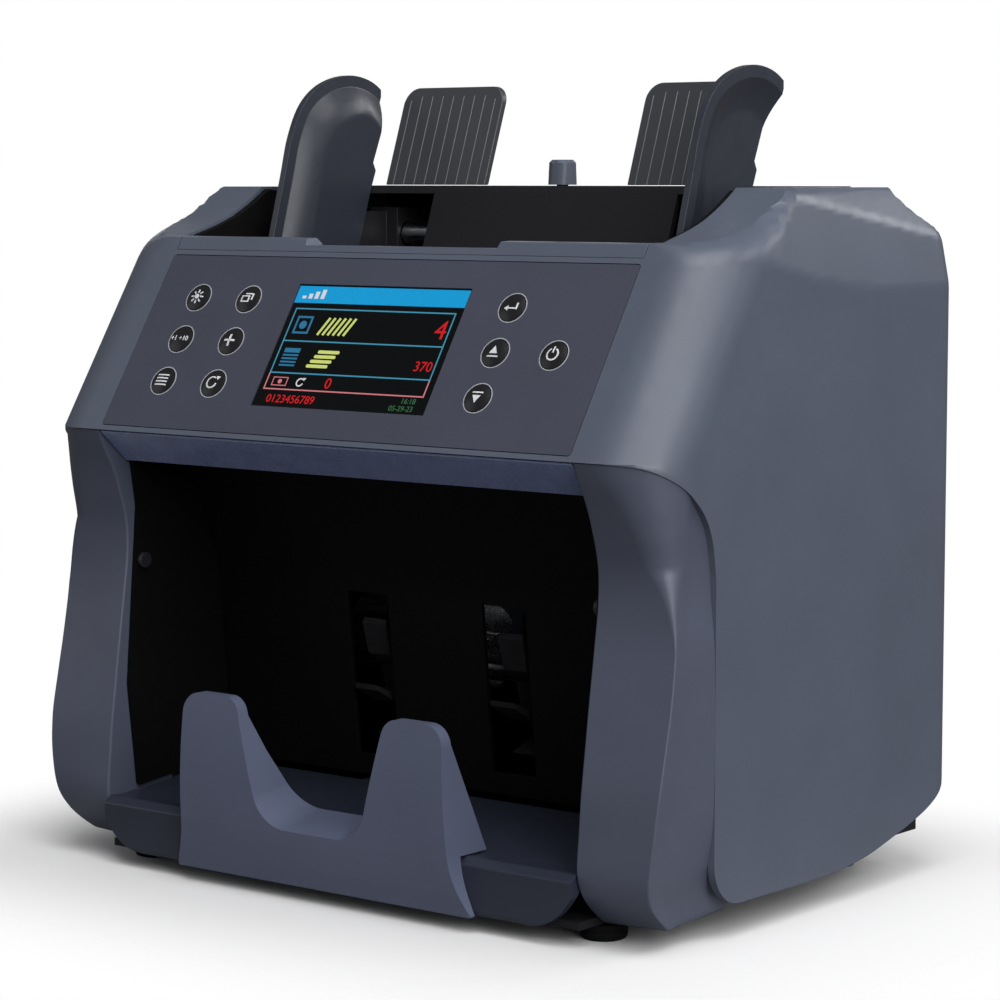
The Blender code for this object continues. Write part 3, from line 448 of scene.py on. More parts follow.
def combine(target, operation, tools):
    """Apply a Boolean with each tool in turn and remove the tools."""
    for tool in tools:
        modifier = target.modifiers.new(operation.lower(), "BOOLEAN")
        modifier.operation = operation
        modifier.solver = "EXACT"
        modifier.object = tool
        result = finished_mesh(target)
        target.modifiers.remove(modifier)
        old = target.data
        target.data = result
        result.name = target.name
        bpy.data.meshes.remove(old)
        bpy.data.objects.remove(tool)
    return target


def cut(target, *tools):
    return combine(target, "DIFFERENCE", tools)


def join(target, *tools):
    return combine(target, "UNION", tools)


def tidy_flats(target, angle=0.4):
    """Dissolve the edges inside flat areas, so that a bevel has clean edges to follow."""
    bm = bmesh.new()
    bm.from_mesh(target.data)
    bmesh.ops.remove_doubles(bm, verts=bm.verts, dist=0.00002)
    bmesh.ops.dissolve_limit(bm, angle_limit=math.radians(angle), verts=bm.verts,
                             edges=bm.edges, delimit={"SHARP"})
    bm.to_mesh(target.data)
    bm.free()
    return target


def soften(target, width, segments=3, angle=30.0, weld=False):
    """Round every edge sharper than the angle, and keep the flats looking flat."""
    if weld:
        merge = target.modifiers.new("merge", "WELD")
        merge.merge_threshold = 0.00002
    bevel = target.modifiers.new("edge_radius", "BEVEL")
    bevel.width = width * MM
    bevel.segments = segments
    bevel.limit_method = "ANGLE"
    bevel.angle_limit = math.radians(angle)
    bevel.miter_outer = "MITER_ARC"
    normals = target.modifiers.new("flat_faces", "WEIGHTED_NORMAL")
    normals.keep_sharp = False
    normals.weight = 60
    return target


def paint(piece, finish):
    piece.data.materials.clear()
    piece.data.materials.append(MATERIALS[finish])


def dress(piece, finish, body="root", hides=()):
    """Give a piece its material, its body and the CAD nodes that it stands for."""
    paint(piece, finish)
    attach(piece, body)
    if hides:
        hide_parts(*hides)
    return piece


# ---- casing

HOOD_EDGE = [(0.0, 146.8), (4.7, 145.9), (9.4, 144.0), (16.0, 140.3), (22.0, 135.9),
             (28.2, 129.6), (31.8, 121.8), (33.6, 111.0)]
SHOULDER = [(42.4, 209.9), (47.5, 211.2), (58.0, 214.1), (66.5, 217.2), (74.4, 221.2),
            (80.0, 224.6), (83.2, 226.8)]
REAR_SCOOP = [(151.6, 226.8), (152.6, 224.0), (156.5, 220.0), (162.2, 216.2),
              (169.0, 212.9), (178.0, 210.2)]
SIDE_BOTTOM = [(60.0, 10.6), (95.0, 10.4), (116.0, 11.9), (132.0, 15.0), (156.0, 21.5),
               (168.0, 28.0), (180.0, 38.0)]
TOP_PATH = smooth_path(SHOULDER) + smooth_path(REAR_SCOOP)
SHOULDER_ROUND = 7.5


def eased(distance, reach):
    """max(0, distance) with its corner rounded over the reach."""
    if distance <= -reach:
        return 0.0
    if distance >= reach:
        return distance
    return (distance + reach) ** 2 / (4 * reach)


def half_width(y, z):
    ahead = max(0.0, CREASE[0] - y) / CREASE_REACH
    crease = CREASE[1] + CREASE_RISE * ahead ** 2
    shoulder = SHOULDER_LINE[1] - SHOULDER_FALL * (y - SHOULDER_LINE[0])
    lean = SIDE_LEAN * eased(z - crease, CREASE_BLEND)
    lean += SHOULDER_LEAN * eased(z - shoulder, CREASE_BLEND)
    return HALF_WIDTH - lean


def top_edge(y):
    """Height of the casing's top face, and the radius of its outer edge, at a depth."""
    if y <= TOP_PATH[0][0]:
        return TOP_PATH[0][1], SHOULDER_ROUND
    for (y0, z0), (y1, z1) in zip(TOP_PATH, TOP_PATH[1:]):
        if y <= y1:
            share = (y - y0) / (y1 - y0)
            crisp = min(1.0, max(0.0, (y - 66.0) / 24.0))
            return z0 + (z1 - z0) * share, SHOULDER_ROUND * (1 - crisp) + 0.8 * crisp
    return TOP_PATH[-1][1], 0.8


def round_over(y, z):
    """How far the rounded top edge draws the side in."""
    height, radius = top_edge(y)
    depth = radius - max(0.0, height - z)
    if depth <= 0:
        return 0.0
    return radius - math.sqrt(max(0.0, radius ** 2 - min(depth, radius) ** 2))


def casing_ring(z, inset):
    """Plan section of the casing at a height, drawn in from its outer face by the inset."""
    front = max(0.0, z - NOSE_Z) / math.tan(PANEL_SLOPE) + inset
    side = HALF_WIDTH - inset
    front_r = FRONT_CORNER - inset
    rear_r = REAR_CORNER - inset
    corner_steps, side_steps, rear_steps = 18, 26, 8
    right = []
    for step in range(corner_steps + 1):
        turn = math.radians(90 * step / corner_steps)
        right.append((side - front_r + front_r * math.sin(turn),
                      front + front_r - front_r * math.cos(turn)))
    start = front + front_r
    end = REAR_Y - inset - rear_r
    right += [(side, start + (end - start) * step / side_steps) for step in range(1, side_steps)]
    for step in range(rear_steps + 1):
        turn = math.radians(90 * step / rear_steps)
        right.append((side - rear_r + rear_r * math.cos(turn), end + rear_r * math.sin(turn)))
    shifted = [(x - HALF_WIDTH + half_width(y, z) - (0.0 if inset else round_over(y, z)), y)
               for x, y in right]
    return [(x, y, z) for x, y in shifted + [(-x, y) for x, y in shifted[::-1]]]


def casing_loft(name, inset, low, high):
    heights = [low, 110.0, NOSE_Z, 170.0, 188.0] + [191.0 + 1.5 * step for step in range(26)]
    return skin(name, [casing_ring(z, inset) for z in heights + [high]])


UP_SLOPE = Vector((0.0, math.cos(PANEL_SLOPE), math.sin(PANEL_SLOPE)))
OUT_OF_PANEL = Vector((0.0, -math.sin(PANEL_SLOPE), math.cos(PANEL_SLOPE)))


def on_panel(x, slope, out=0.0):
    """Point at a distance up the slope from the nose and out of the panel's face."""
    return Vector((x, 0.0, NOSE_Z)) + UP_SLOPE * slope + OUT_OF_PANEL * out


def panel_prism(name, outline, low, high, sharp=35.0):
    return skin(name, [[on_panel(x, slope, out) for x, slope in outline] for out in (low, high)],
                sharp=sharp)


def panel_turned(name, place, profile, segments, **shape):
    """Solid of revolution about the panel's normal; profile holds (out, radius)."""
    rings = [[on_panel(u, v, out) for u, v in circle(*place, radius, segments)]
             for out, radius in profile]
    return skin(name, rings, **shape)


def panel_block(name, span_x, span_slope, span_out, radius=0.0):
    outline = rectangle(span_x[0], span_slope[0], span_x[1], span_slope[1], radius)
    return panel_prism(name, outline, *span_out)


def casing():
    low_corner = rounded([(PANEL_EDGE_Y, 60.0, 0), (PANEL_EDGE_Y, 10.6, 14.0),
                          (60.0, 10.6, 0)], 12)[1:-1]
    top = TOP_PATH[::-1]
    outline = [(-10.0, NOSE_Z)] + smooth_path(HOOD_EDGE, 5) + low_corner
    outline += smooth_path(SIDE_BOTTOM) + top + [(-10.0, HOPPER_EDGE_Z)]
    case = casing_loft("casing_shell", 0.0, 5.0, 231.0)
    combine(case, "INTERSECT", [prism("side_profile", outline, "x", -140.0, 140.0)])

    under = [point for point in offset_path(top, WALL) if point[1] < DECK_UNDER]
    hollow_outline = [(-20.0, -20.0), (190.0, -20.0), (190.0, under[0][1])]
    hollow_outline += under + [(-20.0, under[-1][1])]
    hollow = casing_loft("hollow", WALL, -5.0, 231.0)
    combine(hollow, "INTERSECT", [prism("hollow_profile", hollow_outline, "x", -150.0, 150.0)])
    cut(case, hollow,
        block("hopper_mouth", (-HOPPER_X, 44.0, 190.0), (HOPPER_X, 185.0, 240.0)),
        block("rear_mouth", (-COVER_X, 166.0, 5.0), (COVER_X, 185.0, 240.0)),
        panel_block("bezel_seat", (-BEZEL_X - GAP, BEZEL_X + GAP),
                    (BEZEL_SLOPE[0] - GAP, BEZEL_SLOPE[1] + GAP), (-BEZEL_THICK - GAP, 6.0), 1.3),
        panel_block("panel_window", (-92.0, 92.0), (7.0, 63.0), (-12.0, 6.0)),
        panel_block("lip_seat", (-BEZEL_X - GAP, BEZEL_X + GAP), (69.9, 84.0), (-12.0, 6.0)))
    tidy_flats(case)
    soften(case, 0.7, 3, 28.0)
    return dress(case, "casing", hides=["outer_case"])


CHEEK_STATIONS = [
    (5.6, 17.5, 120.4, 20.5, 3.5, 120.4),
    (7.5, 14.5, 121.3, 17.0, 4.0, 121.2),
    (14.9, 6.5, 122.6, 8.2, 5.0, 122.2),
    (22.8, 3.0, 124.4, 4.0, 5.0, 124.8),
    (35.0, 3.8, 126.3, 3.6, 5.0, 126.9),
    (47.5, 5.0, 127.3, 4.9, 5.0, 127.4),
    (62.0, 7.0, 127.5, 8.0, 4.5, 127.5),
    (76.0, 9.0, 127.5, 11.0, 4.0, 127.5),
    (92.0, 11.5, 127.1, 13.4, 5.0, 127.1),
    (104.0, 13.2, 126.2, 13.0, 5.7, 125.9),
    (115.0, 13.0, 125.6, 11.2, 7.0, 125.3),
    (126.0, 10.0, 126.0, 7.4, 9.5, 125.7),
    (134.0, 6.8, 126.4, 4.6, 12.5, 126.2),
    (141.0, 3.0, 127.0, 2.2, 17.0, 127.0),
    (146.5, 0.5, 127.3, 0.5, 20.0, 127.3),
]
CHEEK_BACK = 33.45
STRIP_SCOOP = 0.7        # hollow of the strip behind the cheek's crease
FLANGE_X = 124.7         # the strip's tail, just inside the casing's wall


def cheek(word, side):
    """S-shaped upright: flat front, crisp crease, and a strip that runs in behind the side."""
    rings = []
    for z, inner_y, corner_x, corner_y, radius, side_x in smooth_path(CHEEK_STATIONS, 6):
        opened = min(1.0, max(0.0, (radius - 5.0) / 2.0))
        tight = 0.5 + (radius * 1.15 - 0.5) * opened
        tail_x = min(side_x, FLANGE_X)
        tail_y = 37.0 + 13.0 * min(1.0, max(0.0, (34.0 - z) / 22.0))
        outline = rounded([(OPENING_X, CHEEK_BACK, 0), (OPENING_X, inner_y, 0.9),
                           (corner_x, corner_y, tight), (side_x, CHEEK_BACK, 0)], 10)
        x0, y0 = outline[-2]
        strip = []
        for step in range(1, 8):
            t = step / 8
            hollow = STRIP_SCOOP * math.sin(math.pi * t)
            strip.append((x0 + (side_x - x0) * t - hollow, y0 + (CHEEK_BACK - y0) * t))
        outline[-1:-1] = strip
        outline += [(tail_x, CHEEK_BACK + 0.1), (tail_x, tail_y), (tail_x - 1.6, tail_y),
                    (tail_x - 1.6, CHEEK_BACK + 0.1)]
        lift = 0.2 * max(0.0, 14.0 - z)
        rings.append([(side * x, y, z + (lift * max(0.0, y - 14.0) / 30.0)) for x, y in outline])
    piece = skin(f"cheek_panel_{word}", rings, sharp=40.0)
    dress(piece, "cheek", hides=[f"cheek_{word}"])


# ---- control panel

def key_places():
    inner, outer = KEY_COLUMNS
    left = [(x, slope) for slope in KEY_ROWS for x in (-outer, -inner)]
    right = [(inner, KEY_ROWS[0]), (inner, KEY_ROWS[1]), (outer, KEY_ROWS[1]),
             (inner, KEY_ROWS[2])]
    return left + right


def ribbon(points, width, closed=False):
    """Flat outlines, one per stroke segment, that together draw a line of a width."""
    stops = list(points) + ([points[0]] if closed else [])
    pieces = []
    for start, end in zip(stops, stops[1:]):
        start, end = Vector(start), Vector(end)
        along = (end - start).normalized() * width / 2
        across = Vector((-along.y, along.x))
        tail, tip = start - along * 0.5, end + along * 0.5
        count = max(1, math.ceil((tip - tail).length / SIGN_STEP))
        near = [tail.lerp(tip, i / count) - across for i in range(count + 1)]
        far = [tail.lerp(tip, i / count) + across for i in range(count + 1)]
        pieces.append([tuple(p) for p in near + far[::-1]])
    return pieces


def arc(radius, start, end, steps=14):
    return [(radius * math.cos(math.radians(start + (end - start) * i / steps)),
             radius * math.sin(math.radians(start + (end - start) * i / steps)))
            for i in range(steps + 1)]


def arrow_head(tip, size, degrees):
    """Small solid triangle pointing along a direction, its tip slightly blunt."""
    turn = math.radians(degrees)
    along = Vector((math.cos(turn), math.sin(turn)))
    across = Vector((-along.y, along.x))
    near, far = [], []
    for share in (0.0, 0.25, 0.5, 0.75, 1.0):
        middle = Vector(tip) - along * size * share
        half = across * size * max(0.02, 0.6 * share)
        near.append(tuple(middle + half))
        far.append(tuple(middle - half))
    return [near + far[::-1]]


def key_signs():
    """Plain signs for the ten keys, as outlines round each key's middle."""
    thin = 0.5
    sun = [circle(0, 0, 0.9, 16)]
    for turn in range(8):
        way = Vector((math.cos(math.tau * turn / 8), math.sin(math.tau * turn / 8)))
        sun += ribbon([tuple(way * 1.5), tuple(way * 2.5)], thin)
    double = ribbon([(-2.2, -1.3), (0.9, -1.3), (0.9, 0.7), (-2.2, 0.7)], thin, True)
    double += ribbon([(-0.9, 1.6), (2.2, 1.6), (2.2, -0.5)], thin)
    plus = ribbon([(-2.0, 0), (2.0, 0)], 0.7) + ribbon([(0, -2.0), (0, 2.0)], 0.7)
    stack = []
    for level in range(4):
        stack += ribbon([(-2.3, -1.8 + 1.2 * level), (2.3, -1.8 + 1.2 * level)], thin)
    cycle = ribbon(arc(2.0, 60, 350), thin) + arrow_head((1.25, 2.35), 1.3, 150)
    back = ribbon([(2.2, 1.3), (2.2, -0.6), (-1.2, -0.6)], thin)
    back += arrow_head((-2.5, -0.6), 1.5, 180)
    up = arrow_head((0, 2.0), 2.6, 90) + ribbon([(-1.9, -1.6), (1.9, -1.6)], thin)
    power = ribbon(arc(2.0, 120, 420), thin) + ribbon([(0, 0.6), (0, 2.6)], thin)
    down = arrow_head((0, -2.0), 2.6, 270) + ribbon([(-1.9, 1.6), (1.9, 1.6)], thin)
    return [sun, double, None, plus, stack, cycle, back, up, power, down]


KEY_DOME = 1.05          # height of the key's middle above the panel
KEY_RIM = 0.35


def dome_height(u, v):
    """Height of a key's top face at a distance from its middle."""
    share = min(1.0, math.hypot(u, v) / KEY_RADIUS)
    return KEY_RIM + (KEY_DOME - KEY_RIM) * (1 - share ** 2)


def draped(name, shapes, place, top, bottom):
    """Thin marks laid on a key's domed top; each outline runs out and back along a stroke."""
    bm = bmesh.new()
    for shape in shapes:
        rings = []
        for lift in (bottom, top):
            ring = []
            for u, v in shape:
                out = dome_height(u, v) + lift
                ring.append(bm.verts.new(on_panel(place[0] + u, place[1] + v, out)))
            rings.append(ring)
        band(bm, *rings)
        for ring in (rings[0][::-1], rings[1]):
            for i in range(len(shape) // 2 - 1):
                bm.faces.new((ring[i], ring[i + 1], ring[-i - 2], ring[-i - 1]))
    return make(name, bm)


def figures(name, text, size, x, slope, out, align="LEFT", depth=0.05):
    """Numbers as thin solids lying on the panel's plane."""
    curve = bpy.data.curves.new(name, "FONT")
    curve.body = text
    curve.size = size
    curve.extrude = depth
    curve.align_x = align
    curve.resolution_u = 4
    source = place_in_scene(name, curve)
    mesh = finished_mesh(source)
    bpy.data.objects.remove(source)
    bm = bmesh.new()
    bm.from_mesh(mesh)
    bpy.data.meshes.remove(mesh)
    bmesh.ops.remove_doubles(bm, verts=bm.verts, dist=0.001)
    for vertex in bm.verts:
        vertex.co = on_panel(x + vertex.co.x, slope + vertex.co.y, out + vertex.co.z)
    return make(name, bm)


def keys():
    for number, (sign, place) in enumerate(zip(key_signs(), key_places()), start=1):
        body = f"key_{number}_body"
        profile = [(-5.0, 3.0), (-2.6, 3.0), (-2.6, KEY_RADIUS), (0.0, KEY_RADIUS)]
        profile += [(dome_height(KEY_RADIUS * share, 0) - 0.06 * share, KEY_RADIUS * share)
                    for share in (0.985, 0.95, 0.88, 0.78, 0.66, 0.52, 0.36, 0.18, 0.05)]
        cap = panel_turned(f"key_cap_{number}", place, profile, 48, sharp=50.0)
        dress(cap, "key", body, [f"key_{number}"])
        ring = [(-0.3, KEY_RADIUS + 0.2), (0.12, KEY_RADIUS + 0.2), (0.16, KEY_RADIUS + 0.36),
                (0.12, KEY_RADIUS + 0.52), (-0.3, KEY_RADIUS + 0.52)]
        dress(panel_turned(f"key_ring_{number}", place, ring, 64, closed_path=True), "ring")
        if sign is None:
            mark = figures(f"key_sign_{number}", "+1 +10", 2.6, place[0], place[1] - 0.9,
                           KEY_DOME - 0.06, "CENTER", 0.09)
        else:
            mark = draped(f"key_sign_{number}", sign, place, 0.1, -0.2)
        dress(mark, "mark", body)


def control_panel():
    """Overlay plate with a fine gap round it, the key holes and the screen aperture."""
    plate = panel_block("panel_overlay", (-BEZEL_X, BEZEL_X), BEZEL_SLOPE, (-BEZEL_THICK, 0.0), 1.0)
    aperture = panel_block("aperture", (SCREEN_X[0] - GAP, SCREEN_X[1] + GAP),
                           (SCREEN_SLOPE[0] - GAP, SCREEN_SLOPE[1] + GAP), (-8.0, 8.0))
    holes = [panel_prism("hole", circle(x, slope, KEY_RADIUS + GAP), -8.0, 8.0)
             for x, slope in key_places()]
    cut(plate, aperture, *holes)
    soften(plate, 0.18, 2)
    dress(plate, "panel", hides=["control_panel"])

    glass = panel_block("screen_glass", SCREEN_X, SCREEN_SLOPE, (-1.6, SCREEN_FACE), 0.4)
    soften(glass, 0.12, 2)
    dress(glass, "glass", hides=["screen_window"])


def display_shapes(name, finish, shapes, thick=0.1):
    """Lit shapes lying on the screen, as one piece."""
    bm = bmesh.new()
    for shape in shapes:
        bridge(bm, [[bm.verts.new(on_panel(x, slope, out)) for x, slope in shape]
                    for out in (SCREEN_FACE - 0.15, SCREEN_FACE + thick)])
    dress(make(name, bm), finish)


def frame_lines(u0, v0, u1, v1, width):
    """The sides of a rectangle as separate bars that don't overlap."""
    half = width / 2
    return [rectangle(u0 - half, v0 - half, u1 + half, v0 + half),
            rectangle(u0 - half, v0 + half, u0 + half, v1 - half),
            rectangle(u1 - half, v0 + half, u1 + half, v1 - half),
            rectangle(u0 - half, v1 - half, u1 + half, v1 + half)]


def display():
    """The lit picture: a header bar, framed rows, small icons and figures."""
    left, right = SCREEN_X
    top = SCREEN_SLOPE[1]
    u0, u1 = left + 2.4, right - 2.8
    rows = [top - 8.7, top - 20.7, top - 32.5, top - 38.5]
    display_shapes("display_header", "cyan",
                   [rectangle(left + 0.25, top - 6.5, right - 0.25, top - 0.25)])
    thin = 0.42
    half = thin / 2
    frames = []
    for low, high in ((rows[2], rows[1]), (rows[3], rows[2])):
        frames.append([rectangle(u0 - half, low - half, u1 + half, low + half)]
                      + [rectangle(u - half, low + half, u + half, high - half)
                         for u in (u0, u1)])
    display_shapes("display_frame", "line",
                   frame_lines(u0, rows[1], u1, rows[0], thin) + frames[0])
    display_shapes("display_frame_low", "pink", frames[1])

    # icons at the left of the rows
    iu = left + 5.0
    sheet = frame_lines(iu, top - 17.6, iu + 6.0, top - 11.8, 0.7)
    sheet += [circle(iu + 3.0, top - 14.7, 1.5, 20)]
    bars = [rectangle(iu - 0.3, top - 30.0 + 1.25 * level, iu + 6.3, top - 29.4 + 1.25 * level)
            for level in range(4)]
    bars.append(rectangle(iu - 0.3, top - 25.0, iu + 6.3, top - 23.4))
    display_shapes("display_icons", "icon", sheet + bars)
    note = frame_lines(iu, top - 37.1, iu + 6.0, top - 34.2, 0.28)
    note += [circle(iu + 3.0, top - 35.65, 0.8, 16)]
    display_shapes("display_note_icon", "pink", note)

    # pictograms in place of the words: a fanned stack and a pile of coins
    fan = []
    for level in range(6):
        shift = 2.2 * level
        fan += ribbon([(left + 15.8 + shift, top - 18.0), (left + 18.4 + shift, top - 12.0)], 0.9)
    display_shapes("display_stack_sign", "lime", fan)
    pile = []
    for level in range(4):
        low = top - 30.2 + 1.75 * level
        shift = 0.9 * level
        pile.append(rectangle(left + 16.4 + shift, low, left + 25.4 + shift, low + 1.15, 0.5))
    display_shapes("display_pile_sign", "lime", pile)
    display_shapes("display_repeat_sign", "white",
                   [[(left + 16.6 + u, top - 35.7 + v) for u, v in shape]
                    for shape in ribbon(arc(1.35, 50, 340), 0.42)
                    + arrow_head((0.85, 1.65), 1.0, 145)])
    header = [rectangle(left + 3.0 + 2.6 * i, top - 4.9, left + 4.6 + 2.6 * i,
                        top - 4.9 + 1.0 + 0.8 * i) for i in range(4)]
    display_shapes("display_header_sign", "white", header, 0.14)

    face = SCREEN_FACE + 0.02
    words = [("display_count", "4", 9.6, right - 3.6, top - 18.0, "RIGHT", "red"),
             ("display_value", "370", 5.0, right - 3.8, top - 29.6, "RIGHT", "red"),
             ("display_rejects", "0", 5.4, left + 27.2, top - 37.4, "LEFT", "red"),
             ("display_serial", "0123456789", 4.1, left + 5.2, top - 43.3, "LEFT", "red"),
             ("display_time", "16:18", 2.7, right - 5.0, top - 41.2, "RIGHT", "green"),
             ("display_date", "05-29-23", 2.7, right - 5.0, top - 43.9, "RIGHT", "green")]
    for name, text, size, x, slope, align, finish in words:
        dress(figures(name, text, size, x, slope, face, align), finish)


# ---- stacker

# rounding under each end of the tray's front ledge, as (x, z)
LEDGE_CORNER = [(79.0, 4.4), (86.5, 6.2), (92.5, 9.4), (96.4, 13.4), (99.5, 18.0)]


def stacker():
    tray_outline = rounded([(0.9, 5.0, 2.4), (0.9, 20.9, 1.2), (4.0, 23.0, 1.4),
                            (10.0, 22.5, 4.0), (58.0, 28.0, 0.6), (58.0, 25.5, 0.6),
                            (10.0, 20.0, 2.0), (6.0, 18.0, 1.0), (4.0, 16.0, 1.0),
                            (4.0, 5.0, 0.6)], 5)
    edge = OPENING_X - GAP
    tray = prism("stacker_ledge", tray_outline, "x", -edge, edge)
    for side in (-1, 1):
        low, high = span(side, INNER_X, 130.0)
        corner = [(side * x, z) for x, z in
                  [(79.0, 0.0)] + smooth_path(LEDGE_CORNER, 4) + [(99.5, 0.0)]]
        cut(tray, block("frame_room", (low, 15.5, 0.0), (high, 80.0, 60.0)),
            prism("ledge_corner", corner, "y", -5.0, 7.0))
    tidy_flats(tray)
    soften(tray, 0.35, 2, 25.0)
    dress(tray, "ledge", hides=["stacker_tray"])

    finger_guard()

    outline = rounded([(0.5, 146.4, 0.5), (3.0, 146.6, 0.6), (12.6, 138.6, 0),
                       (12.6, 135.6, 0)], 4)
    strip = prism("visor_lens", outline, "x", -98.0, 98.0)
    soften(strip, 0.3, 2)
    # visor lens: its pale blue finish is partly own tint, partly painted reflection
    dress(strip, "smoked", hides=["visor_strip"])


def guard_outline(notch_z, notch_x, grow):
    """Half outline of the two posts and the notch between them, mirrored into a whole."""
    half = [(0.0, 5.0, 0), (62.0 + grow, 5.0, 0.6), (56.4 + grow, 17.0, 36.0),
            (54.0 + grow, 64.2, 7.0), (31.4, 64.2, 6.0), (notch_x, notch_z, 13.0),
            (0.0, notch_z, 0)]
    right = rounded(half, 12)[0:-1]
    return right + [(-x, z) for x, z in right[::-1]][:-1]


def finger_guard():
    """Wedge-shaped posts, thick at the ledge and thin at the top, with a drafted notch."""
    front = guard_outline(23.4, 20.6, 0.0)
    back = guard_outline(28.6, 18.8, 0.0)
    stations = [(-12.0, 0.0), (-6.8, 0.0), (14.0, 1.0), (20.0, 1.0)]
    rings = []
    for y, share in stations:
        rings.append([(x0 + (x1 - x0) * share, y, z0 + (z1 - z0) * share)
                      for (x0, z0), (x1, z1) in zip(front, back)])
    guard = skin("guard_posts", rings)
    face = [(-0.9, 4.0), (-3.6, 12.0), (-5.7, 22.0), (-6.7, 34.0), (-6.8, 46.0), (-6.2, 58.0),
            (-5.2, 70.0)]
    wedge = smooth_path(face, 3) + [(-1.6, 70.0), (-1.6, 58.0), (13.6, 23.3), (0.7, 23.3),
                                    (0.7, 4.0)]
    combine(guard, "INTERSECT", [prism("wedge", wedge, "x", -70.0, 70.0)])
    tidy_flats(guard)
    soften(guard, 1.7, 6, 35.0)
    dress(guard, "guard", hides=["finger_guard"])


# ---- hopper

def feed_height(y):
    return HOPPER_EDGE_Z - FEED_SLOPE * (y - 42.4)


def plate_depth(z):
    return PLATE_TOP[0] - LEAN * (PLATE_TOP[1] - z)


def ribbed_plate(word, side):
    """Leaning plate with rounded corners and a row of fine raised ribs, their lighter grey a
    painted highlight.
    """
    low = 227.4
    outline = rounded([(PLATE_X[0], low, 0), (PLATE_X[1], low, 0),
                       (PLATE_X[1], PLATE_TOP[1], 6.0), (PLATE_X[0], PLATE_TOP[1], 6.0)], 10)
    rings = [[(side * x, plate_depth(z) + depth, z) for x, z in outline]
             for depth in (0.0, PLATE_THICK)]
    plate = skin(f"ribbed_plate_{word}", rings)
    soften(plate, 0.45, 3, 40.0)
    dress(plate, "plate", hides=[f"back_plate_{word}"])
    ribs = bmesh.new()
    section = [(-0.22, 0.2), (-0.15, -0.12), (0.0, -0.2), (0.15, -0.12), (0.22, 0.2)]
    for rib in range(9):
        x = side * (PLATE_X[0] + 3.4 + 4.75 * rib)
        top = PLATE_TOP[1] - (3.6 if rib in (0, 8) else 2.4)
        loops = [[ribs.verts.new((x + u * narrow, plate_depth(z) + depth * narrow + sink, z))
                  for u, depth in section]
                 for z, narrow, sink in ((low, 1.0, 0.0), (top - 1.0, 1.0, 0.0), (top, 0.4, 0.3))]
        bridge(ribs, loops)
    # the ribs take the lighter rib finish: a painted highlight along each rib
    dress(make(f"plate_ribs_{word}", ribs), "rib")


GUIDE_FRONT = [(66.5, 184.0), (70.0, 202.0), (78.0, 230.0), (82.0, 244.0), (88.0, 255.0),
               (97.0, 262.0), (109.0, 265.6), (120.0, 265.2), (129.0, 261.6), (137.0, 254.0),
               (142.0, 244.0), (144.0, 228.0)]
GUIDE_REAR = [(129.6, 280.0), (129.6, 258.6), (127.2, 252.6), (119.8, 235.2), (121.2, 232.4),
              (118.4, 225.6), (108.0, 194.0), (105.6, 188.2)]
# distance in from the rim, share of the flare: a flat rim, then a scoop down to the face
GUIDE_BANDS = [(0.0, 1.0), (4.0, 1.0), (4.4, 0.95), (6.2, 0.72), (8.4, 0.46), (10.8, 0.24),
               (13.2, 0.08), (15.0, 0.0)]


def hopper_guide(word, side):
    """Fin whose rim flares outwards, its arm and slider, and the rack behind the hopper."""
    edge = smooth_path(GUIDE_FRONT, 6)
    inner, outer = [], []
    for count, (distance, share) in enumerate(GUIDE_BANDS):
        line = offset_path(edge, -distance) if distance else edge
        low = 178.0 + 0.2 * count
        ring = line + [(line[-1][0], low), (line[0][0], low)]
        x = GUIDE_X + GUIDE_FLARE * share
        inner.append([(side * x, y, z) for y, z in ring])
        outer.append([(side * (x + GUIDE_SHEET), y, z) for y, z in ring])
    fin = skin(f"guide_fin_{word}", inner[::-1] + outer)
    trim = [(58.0, feed_height(58.0) + 0.6), (58.0, 280.0)] + GUIDE_REAR
    combine(fin, "INTERSECT", [prism("trim", trim, "x", -110.0, 110.0)])
    tidy_flats(fin)
    soften(fin, 0.35, 2, 25.0)
    body = f"guide_{word}"
    dress(fin, "guide", body, [f"hopper_guide_{word}"])

    slider_x = span(side, GUIDE_X - 5.0, GUIDE_X + 8.0)
    slider = block(f"guide_slider_{word}", (slider_x[0], 127.0, 201.0),
                   (slider_x[1], 143.5, 219.5))
    arm_x = span(side, GUIDE_X + 0.2, GUIDE_X + GUIDE_SHEET - 0.2)
    arm = block("arm", (arm_x[0], 104.0, 204.5), (arm_x[1], 130.0, 218.0))
    join(slider, arm, rack_bar(side, RAIL[1] + side * 6.0))
    cut(slider, rod("rail_bore", "x", RAIL, RAIL_RADIUS + GAP, -140.0, 140.0))
    soften(slider, 0.3, 2, 50.0)
    dress(slider, "black", body)


def rack_bar(side, pitch_height):
    """Toothed bar that reaches past the pinion from one guide."""
    pitch = math.pi
    root = pitch_height + side * 1.15
    tip = pitch_height - side * 0.8
    back = pitch_height + side * 4.2
    start, end = -26.0, GUIDE_X - 3.0
    outline = [(end, back), (start, back), (start, root)]
    first = -pitch * (round(-start / pitch) - 0.5)
    for tooth in range(int((18.0 - start) / pitch)):
        x = first + pitch * tooth
        outline += [(x - 0.95, root), (x - 0.32, tip), (x + 0.32, tip), (x + 0.95, root)]
    outline.append((end, root))
    return prism("rack", [(side * u, v) for u, v in outline], "y", 139.0, 143.0)


def feed_ribs():
    """Low ribs along the feed plate, which the notes slide on."""
    bm = bmesh.new()
    for x in (-88.0, -72.0, -56.0, -44.0, -10.0, 10.0, 44.0, 56.0, 72.0, 88.0):
        loops = []
        for half, lift in ((0.9, -0.4), (0.5, 0.5)):
            foot = ((-half, 50.0), (half, 50.0), (half, 104.0), (-half, 104.0))
            loops.append([bm.verts.new((x + dx, y, feed_height(y) + lift)) for dx, y in foot])
        bridge(bm, loops)
    dress(make("feed_plate_ribs", bm), "black")


